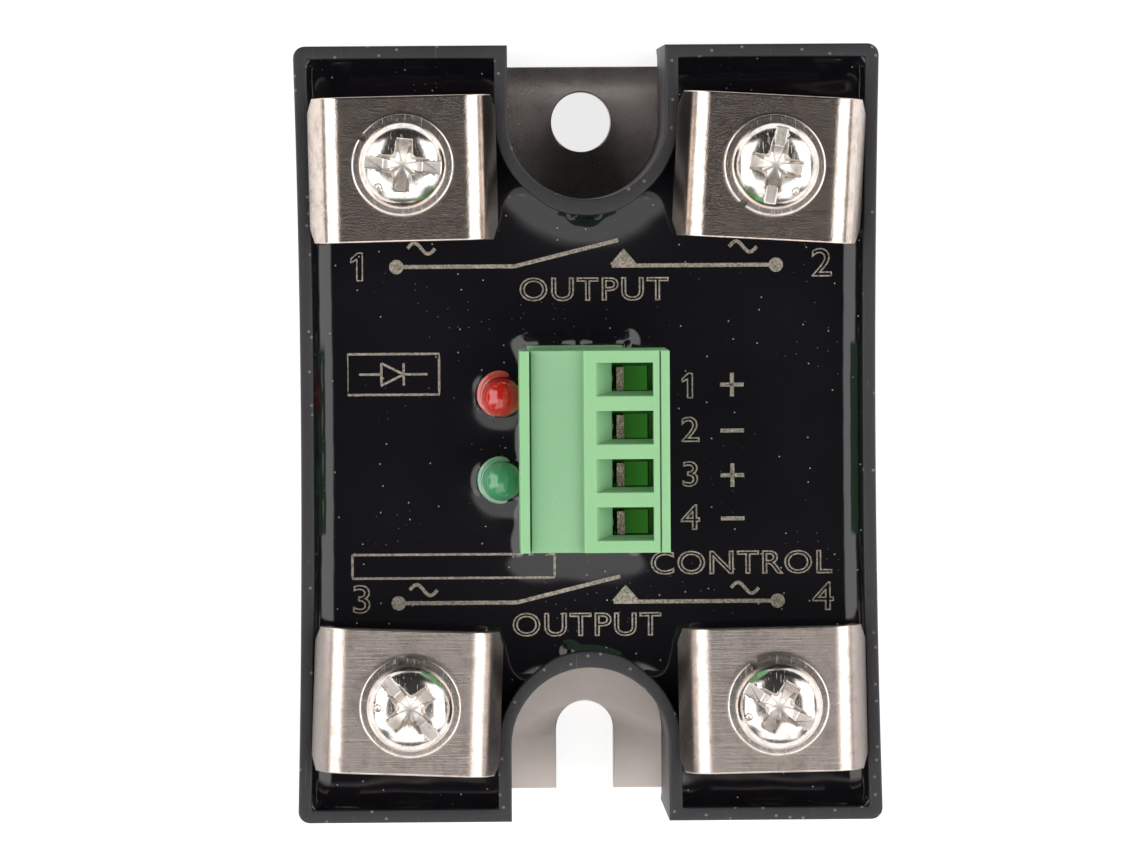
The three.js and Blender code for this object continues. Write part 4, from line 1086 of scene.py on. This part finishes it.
def clamp_mesh():
    """Rings from the hole (share 0) to the cut edge (share 1), with quarter-round edges on both faces."""
    edge, quarter = CLAMP_EDGE, np.radians(np.linspace(0, 90, 4))
    shares = smoothstep(np.linspace(0, 1, 34), -0.15, 1.15)
    shares = (shares - shares[0]) / (shares[-1] - shares[0])
    angles = blank_angles()
    reach = blank_edge(angles)
    loop = []
    for inset, d in zip(edge * (1 - np.cos(quarter)), edge * (1 - np.sin(quarter))):
        loop.append((HOLE + inset + 0 * angles, d))
    loop += [(HOLE + edge + (reach - edge - HOLE - edge) * s, 0.0) for s in shares[1:-1]]
    for inset, d in zip(edge * (1 - np.sin(quarter)), edge * (1 - np.cos(quarter))):
        loop.append((reach - inset, d))
    rings = loop + [(r, SHEET - d) for r, d in reversed(loop)]
    radius = np.array([r for r, _ in rings])
    depth = np.array([np.full(len(angles), d) for _, d in rings])
    grid = bent(radius * np.cos(angles), radius * np.sin(angles), depth)
    return mesh_of("clamp", [(grid, grid_faces(*grid.shape[:2], True, True))])


clamp = clamp_mesh()
CLAMP_TURNS = (1.1, -3.3, -2.2, 0.95)
print("clamp faces:", len(clamp.polygons))
for k, turn in enumerate(CLAMP_TURNS, 1):
    low, high = box_mm(f"clamp_plate_{k}")
    at = ((low[0] + high[0]) / 2, (low[1] + high[1]) / 2, high[2])
    made = placed(clamp, f"wire_clamp_{k}", at, turn)
    look_of = "clamp" if at[1] > 0 else "satin"
    piece(f"wire_clamp_{k}", made, look_of, f"clamp_{k}", [f"clamp_plate_{k}"], angle=40)

# %% [markdown]
# ## Lock washers
#
# A lock washer is a turn of square wire, cut open and set so that its two ends stand apart. It is a
# rounded square section carried round most of a circle, its ends closed, with one end a little higher
# than the other.

# %% Split washers
WASHER_OUT, WASHER_IN, WASHER_THICK = 3.85, 2.2, 0.9
WASHER_GAP = 9
WASHER_SET = 0.1


def washer_mesh():
    """The section is a superellipse, |x|^n + |z|^n = 1 with n = 9, carried round the ring."""
    s = np.linspace(0, 2 * np.pi, 28, endpoint=False)
    power = 2 / 9
    across = np.sign(np.cos(s)) * np.abs(np.cos(s)) ** power * (WASHER_OUT - WASHER_IN) / 2
    up = np.sign(np.sin(s)) * np.abs(np.sin(s)) ** power * (WASHER_THICK - WASHER_SET) / 2
    a = np.radians(np.linspace(WASHER_GAP / 2, 360 - WASHER_GAP / 2, 120))
    r = (WASHER_OUT + WASHER_IN) / 2 + across
    lean = WASHER_SET * (a / (2 * np.pi) - 0.5)
    z = WASHER_THICK / 2 + up + lean[:, None]
    grid = np.stack([r * np.cos(a)[:, None], r * np.sin(a)[:, None], z], -1)
    n = len(s)
    faces = grid_faces(*grid.shape[:2], close_columns=True).tolist()
    faces += [list(range(n)), list(range((len(a) - 1) * n, len(a) * n))]
    mesh = bpy.data.meshes.new("washer")
    mesh.from_pydata((grid.reshape(-1, 3) * MM).tolist(), [], faces)
    tidy(mesh, 1e-7)
    return mesh


# %% [markdown]
# ## Terminal screws
#
# The head is a low dome with a recess for two drivers: a cross with tapered walls, and a slot right
# across. The dome and shank are one profile turned round the axis, and the thread is a ridge whose phase
# follows the angle. The recess is cut with simple cutters, because its crisp walls would need a very fine
# grid, and the cut edges are rounded afterwards. The slot is clearly narrower than the cross: where two
# cuts almost share a wall, rounding their edges turns the slivers between them inside out.

# %% Head, recess and thread
SLOT_TURNS = (-5.0, 79.7, -50.0, -30.0)
HEAD_RADIUS, HEAD_HEIGHT = 3.3, 2.6
HEAD_EDGE = 0.55  # height of the upright edge under the dome
CROSS_DEPTH = 1.35
SLOT_LENGTH, SLOT_WIDTH, SLOT_DEPTH = 9, 0.92, 0.75
DIMPLE_REACH, DIMPLE_TURN, DIMPLE_SINK = 2.45, math.radians(227), 0.33
SHANK_RADIUS, SHANK_LENGTH, PITCH = 1.95, 6.0, 0.7
THREAD_DEPTH, THREAD_STEPS = 0.4, 40


def dome(steps=22):
    """The head's profile: a short upright edge, then r = R cos(t)^0.52, h = e + (H - e) sin(t)^0.92."""
    t = np.radians(np.linspace(0, 90, steps))
    r = HEAD_RADIUS * np.maximum(np.cos(t), 1e-9) ** 0.52
    h = HEAD_EDGE + (HEAD_HEIGHT - HEAD_EDGE) * np.sin(t) ** 0.92
    r[-1] = 0
    return [(HEAD_RADIUS - 0.12, 0.0), (HEAD_RADIUS - 0.02, 0.08), *zip(r, h)]


def slot_cutter(length, width, depth):
    """A block as long, wide and deep as a flat driver's slot, its floor a hair narrower than its mouth."""
    half = np.array([length / 2, width / 2])
    signs = np.array([(-1, -1), (1, -1), (1, 1), (-1, 1)])
    ceiling = np.concatenate([signs * (half + 0.02), np.full((4, 1), HEAD_HEIGHT + 0.6)], 1)
    floor = np.concatenate([signs * (half - 0.03), np.full((4, 1), HEAD_HEIGHT - depth)], 1)
    points = np.concatenate([floor, ceiling])
    faces = np.array([[0, 1, 2, 3], [4, 5, 6, 7], [0, 1, 5, 4], [1, 2, 6, 5], [2, 3, 7, 6], [3, 0, 4, 7]])
    return points, faces


def cross_cutter(steps=192):
    """A cross with rounded inner corners that narrows downwards and ends in a shallow cone.

    An arm of length L and half width w reaches min(L / |cos a|, w / |sin a|) at the angle a. The other arm
    is the same a quarter turn on, and the fourth powers of the two are added, so their corners blend. L
    shrinks from 2.1 to 0.95 mm with depth and w from 0.62 to 0.5 mm, so each arm's end wall slopes and its
    side walls are steep.
    """
    a = (np.linspace(0, 2 * np.pi, steps, endpoint=False) + np.pi / steps)[None, :]
    down = np.array([-0.5, 0.0, 0.5, 1.0])[:, None]
    length, half = 2.1 - 1.15 * down, 0.62 - 0.12 * down
    along, over = np.maximum(np.abs(np.cos(a)), 1e-9), np.maximum(np.abs(np.sin(a)), 1e-9)
    arms = [np.minimum(length / u, half / v) for u, v in ((along, over), (over, along))]
    r = (arms[0] ** 4 + arms[1] ** 4) ** 0.25
    r = np.concatenate([0 * a, r, 0 * a])
    h = HEAD_HEIGHT - CROSS_DEPTH * np.concatenate([[[-0.5]], down, [[1.2]]]) + 0 * a
    return np.stack([r * np.cos(a), r * np.sin(a), h], -1), grid_faces(*r.shape, close_columns=True)


def cut(mesh, cutters):
    """The mesh with each cutter taken out of it by a boolean."""
    scene = bpy.context.scene.collection.objects
    whole = bpy.data.objects.new("whole", mesh)
    scene.link(whole)
    tools = []
    for i, cutter in enumerate(cutters):
        tool = bpy.data.objects.new(f"cutter_{i}", cutter)
        scene.link(tool)
        step = whole.modifiers.new("cut", "BOOLEAN")
        step.operation, step.object, step.solver = "DIFFERENCE", tool, "EXACT"
        tools.append(tool)
    made = bpy.data.meshes.new_from_object(whole.evaluated_get(bpy.context.evaluated_depsgraph_get()))
    for holder in (whole, *tools):
        bpy.data.objects.remove(holder)
    tidy(made, 1e-6)
    return made


def thread():
    """Ridges r = core + depth * wave(z / pitch - angle / 2 pi), a triangle wave, fading out at both ends."""
    z = np.linspace(-SHANK_LENGTH, 0.1, 88)[:, None]
    a = np.linspace(0, 2 * np.pi, THREAD_STEPS, endpoint=False)[None, :]
    wave = np.abs(((z / PITCH - a / (2 * np.pi)) % 1) * 2 - 1)
    fade = smoothstep(z, -SHANK_LENGTH, -SHANK_LENGTH + 0.9) * (1 - smoothstep(z, -0.5, -0.1))
    r = SHANK_RADIUS - THREAD_DEPTH + THREAD_DEPTH * wave * fade
    grid = np.stack([r * np.cos(a), r * np.sin(a), z + 0 * a], -1)
    ends = [np.repeat(grid[i].mean(0)[None, None], THREAD_STEPS, 1) for i in (0, -1)]
    grid = np.concatenate([ends[0], grid, ends[1]])
    return grid, grid_faces(*grid.shape[:2], close_columns=True)


def screw_mesh():
    """The head with its cross, its slot and the small dimple of the maker's tool, and the threaded shank."""
    head = mesh_of("head", [turned([(0.0, 0.0), *dome()], 96)])
    ball, ball_faces = turned([(0, -0.3), (0.22, -0.2), (0.3, 0), (0.22, 0.2), (0, 0.3)], 16)
    across, over = DIMPLE_REACH * math.cos(DIMPLE_TURN), DIMPLE_REACH * math.sin(DIMPLE_TURN)
    cutters = [
        mesh_of("cross", [cross_cutter()]),
        mesh_of("slot", [slot_cutter(SLOT_LENGTH, SLOT_WIDTH, SLOT_DEPTH)]),
        mesh_of("dimple", [(ball + np.array([across, over, HEAD_HEIGHT - DIMPLE_SINK]), ball_faces)]),
    ]
    return cut(head, cutters), mesh_of("shank", [thread()])


def mark_recess(mesh):
    """Writes 1 on the faces that lie clearly below the dome's own surface, and 0 elsewhere."""
    centres = np.empty(len(mesh.polygons) * 3)
    mesh.polygons.foreach_get("center", centres)
    x, y, h = centres.reshape(-1, 3).T / MM
    r, top = np.array(dome()).T
    surface = np.interp(np.hypot(x, y), r[::-1], top[::-1])
    marks = mesh.attributes.new(RECESS, "FLOAT", "FACE")
    marks.data.foreach_set("value", ((h < surface - 0.08) & (h > 0.6)).astype(np.float32))


head_mesh, shank_mesh = screw_mesh()
mark_recess(head_mesh)
washer = washer_mesh()
for k, turn in enumerate(SLOT_TURNS, 1):
    x, y, _ = np.array(joints[f"screw_turn_{k}"]["pos_m"]) / MM
    seat = box_mm(f"lock_washer_{k}")
    ring = placed(washer, f"split_washer_{k}", (x, y, seat[0][2]), turn + 150)
    piece(f"split_washer_{k}", ring, "washer", f"clamp_{k}", [f"lock_washer_{k}"], angle=50)
    head = placed(head_mesh, f"screw_head_{k}", (x, y, seat[1][2]), turn)
    piece(f"screw_head_{k}", head, "screw", f"screw_{k}", [f"terminal_screw_{k}"], 0.07, 38)
    shank = placed(shank_mesh, f"screw_shank_{k}", (x, y, seat[1][2]), turn)
    piece(f"screw_shank_{k}", shank, "screw", f"screw_{k}", angle=60)
print("screw head faces:", len(head_mesh.polygons))

# %% [markdown]
# ## Lamps
#
# Each lamp is a cylinder of tinted resin with a domed end and a flange, cast round a small metal frame: a
# post with a cup that holds the chip, and a thinner post for the bond wire. The frame shows through the
# resin as a dark core, so it is modelled too.

# %% Lens and lead frame
LENS_RADIUS = 1.5
LENS_HEIGHT = 5.4


def lens_profile():
    """Flange, waist, straight side and a dome r = R cos t, h = straight + R sin t."""
    t = np.radians(np.linspace(0, 90, 16))
    straight = LENS_HEIGHT - LENS_RADIUS
    r, h = LENS_RADIUS * np.cos(t), straight + LENS_RADIUS * np.sin(t)
    r[-1] = 0
    flange = [(0, 0), (FLANGE - 0.1, 0), (FLANGE, 0.1), (FLANGE, 0.85), (FLANGE - 0.1, 0.95)]
    return [*flange, (LENS_RADIUS + 0.06, 0.98), *zip(r, h)]


def block(low, high):
    """The eight corners and six faces of a box."""
    xs, ys, zs = zip(low, high)
    corners = np.array([(x, y, z) for z in zs for y in ys for x in xs])
    faces = [[0, 1, 3, 2], [4, 5, 7, 6], [0, 1, 5, 4], [1, 3, 7, 5], [3, 2, 6, 7], [2, 0, 4, 6]]
    return corners, np.array(faces)


def lead_frame():
    """Two posts, a cup on the wider one and a chip in the cup."""
    cup = turned([(0, 2.6), (0.5, 2.6), (0.72, 3.25), (0.6, 3.25), (0.42, 2.85), (0, 2.85)], 24)
    posts = [block((-0.25, -1.52, -0.2), (0.25, -1.02, 0.9)), block((-0.22, 1.02, -0.2), (0.22, 1.52, 0.9))]
    arms = [block((-0.22, -1.4, 0.9), (0.22, 0.3, 2.6)), block((-0.2, 0.7, 0.9), (0.2, 1.3, 3.2))]
    chip = [block((-0.17, -0.17, 2.85), (0.17, 0.17, 3.0))]
    return mesh_of("lead_frame", [cup, *posts, *arms, *chip])


lens = mesh_of("lens", [turned(lens_profile(), 64)])
leads = lead_frame()
LAMP_LEAN = {"red": 2.2, "green": -0.6}
for colour, centre in LAMPS.items():
    at = (centre[0], centre[1], box_mm(f"led_{colour}")[1][2] - LENS_HEIGHT)
    lean = Matrix.Rotation(math.radians(LAMP_LEAN[colour]), 4, "X")
    made = []
    for part, mesh in (("lens", lens), ("lead_frame", leads)):
        copy = mesh.copy()
        copy.transform(Matrix.Translation(Vector(at) * MM) @ lean)
        made.append(copy)
    piece(f"lamp_{colour}", made[0], colour, "relay", [f"led_{colour}"], angle=40)
    piece(f"lamp_frame_{colour}", made[1], "tin", "relay", angle=30)
print("lamps:", list(LAMPS))

# %% [markdown]
# ## Connector, lugs and small metal parts
#
# The plug, the header and the stamped parts already have their right shape in CAD, but every edge there
# is perfectly sharp, and real edges never are: even a tenth of a millimetre of rounding catches the
# light. A copy of the CAD mesh is welded, its flat faces are joined, and Bevel rounds what is left.


# %% Round the edges of a CAD copy
def softened(node, name, finish, body, edge):
    """A copy of a CAD node's mesh, welded and its flat faces joined, with its edges rounded."""
    mesh = frame["nodes"][node].data.copy()
    mesh.name = name
    work = bmesh.new()
    work.from_mesh(mesh)
    bmesh.ops.remove_doubles(work, verts=work.verts, dist=1e-6)
    bmesh.ops.dissolve_limit(work, angle_limit=math.radians(1), verts=work.verts, edges=work.edges)
    work.to_mesh(mesh)
    work.free()
    return piece(name, mesh, finish, body, [node], edge, 30)


softened("plug_body", "plug_moulding", "plug", "plug", 0.05)
softened("header_body", "header_moulding", "header", "relay", 0.06)
for k in range(1, 5):
    softened(f"terminal_lug_{k}", f"tapped_tab_{k}", "lug", "relay", 0.1)
    softened(f"plug_contact_{k}", f"contact_bar_{k}", "tin", "plug", 0.04)
    softened(f"plug_cage_{k}", f"rising_cage_{k}", "cage", f"plug_cage_{k}", 0.05)
    softened(f"plug_screw_{k}", f"plug_screw_finished_{k}", "screw", f"plug_screw_{k}", 0.04)
    softened(f"header_pin_{k}", f"header_pin_finished_{k}", "tin", "relay", 0.08)
print("faces of the plug's CAD mesh:", len(frame["nodes"]["plug_body"].data.polygons))

# %% [markdown]
# ## Inner parts
#
# The board and what stands on it are buried in the filling, so nothing of them shows. They keep their CAD
# meshes and get the finish of the real part, for anyone who takes the relay apart.

# %% Finish the buried parts
BURIED = {
    "pcb": "board",
    "potting_gel": "gel",
    "insulator_pad": "pad",
    "triac": "device",
    "optocoupler": "device",
    "transistor": "device",
    "snubber_capacitor": "capacitor",
    "snubber_resistor": "resistor",
    "input_resistor": "resistor",
}
for node, obj in frame["nodes"].items():
    kind = next((k for k in BURIED if node.startswith(k)), None)
    if kind:
        obj.data.materials.clear()
        obj.data.materials.append(FINISHES[BURIED[kind]])
print("kinds of buried parts:", len(BURIED))

# %% [markdown]
# ## Floor and light
#
# The relay lies on a plain white floor. Black epoxy and plated steel show little of their own colour and
# a lot of their surroundings, so the surroundings do the work: a long soft light on each side, low and
# wide, that the epoxy's slopes and the clamps' bends catch, and a dark gap above, which the level epoxy
# mirrors as black. The lights could be area lamps. Painted into the world by direction they give the same
# soft edges with less noise.

# %% Floor
FLOOR_HALF = 1.5  # in metres
floor_mesh = bpy.data.meshes.new("floor")
signs = ((-1, -1), (1, -1), (1, 1), (-1, 1))
floor_mesh.from_pydata([(a * FLOOR_HALF, b * FLOOR_HALF, 0) for a, b in signs], [], [(0, 1, 2, 3)])
floor = bpy.data.objects.new("floor", floor_mesh)
bpy.context.scene.collection.objects.link(floor)
paper = Finish("floor_paper")
fibre = paper.noise(30, 3)
white = paper.mix(fibre, linear(150, 150, 150), linear(156, 156, 156))
lit = {"Emission_Color": (1, 1, 1, 1), "Emission_Strength": 0.8}
floor_mesh.materials.append(paper.shade(Base_Color=white, Roughness=0.8, **lit))
print("floor:", 2 * FLOOR_HALF, "m wide")


# %% Studio light by direction
BOX_LIGHT, CARD_LIGHT, GLOW_LIGHT, FILL_LIGHT = 2.7, 1.5, 0.12, 0.03


def studio_world():
    """Light from a direction (x, y, z): two side softboxes, a dim card towards -Y, and a faint fill."""
    world = bpy.data.worlds.new("studio")
    world.use_nodes = True
    studio = Nodes(world.node_tree)
    direction = studio.node("ShaderNodeTexCoord", output="Generated")
    x, y, z = (studio.node("ShaderNodeSeparateXYZ", None, {0: direction}, axis) for axis in "XYZ")
    side = x.math("ABSOLUTE")
    boxes = side.smooth(0.38, 0.46) * side.smooth(0.98, 0.92) * y.smooth(-0.62, -0.45) * y.smooth(0.72, 0.5)
    card = y.smooth(-0.14, -0.26) * y.smooth(-0.95, -0.85) * side.smooth(0.62, 0.4)
    glow = y.smooth(0.06, -0.22)
    strength = (boxes * BOX_LIGHT + card * CARD_LIGHT + glow * GLOW_LIGHT) * z.smooth(0.02, 0.12) + FILL_LIGHT
    light = studio.node("ShaderNodeBackground", None, {"Color": (1, 0.985, 0.965, 1), "Strength": strength})
    studio.node("ShaderNodeOutputWorld", None, {"Surface": light})
    return world


bpy.context.scene.world = studio_world()
bpy.context.scene.view_settings.view_transform = "Standard"
bpy.context.scene.view_settings.look = "None"
print("world:", bpy.context.scene.world.name)
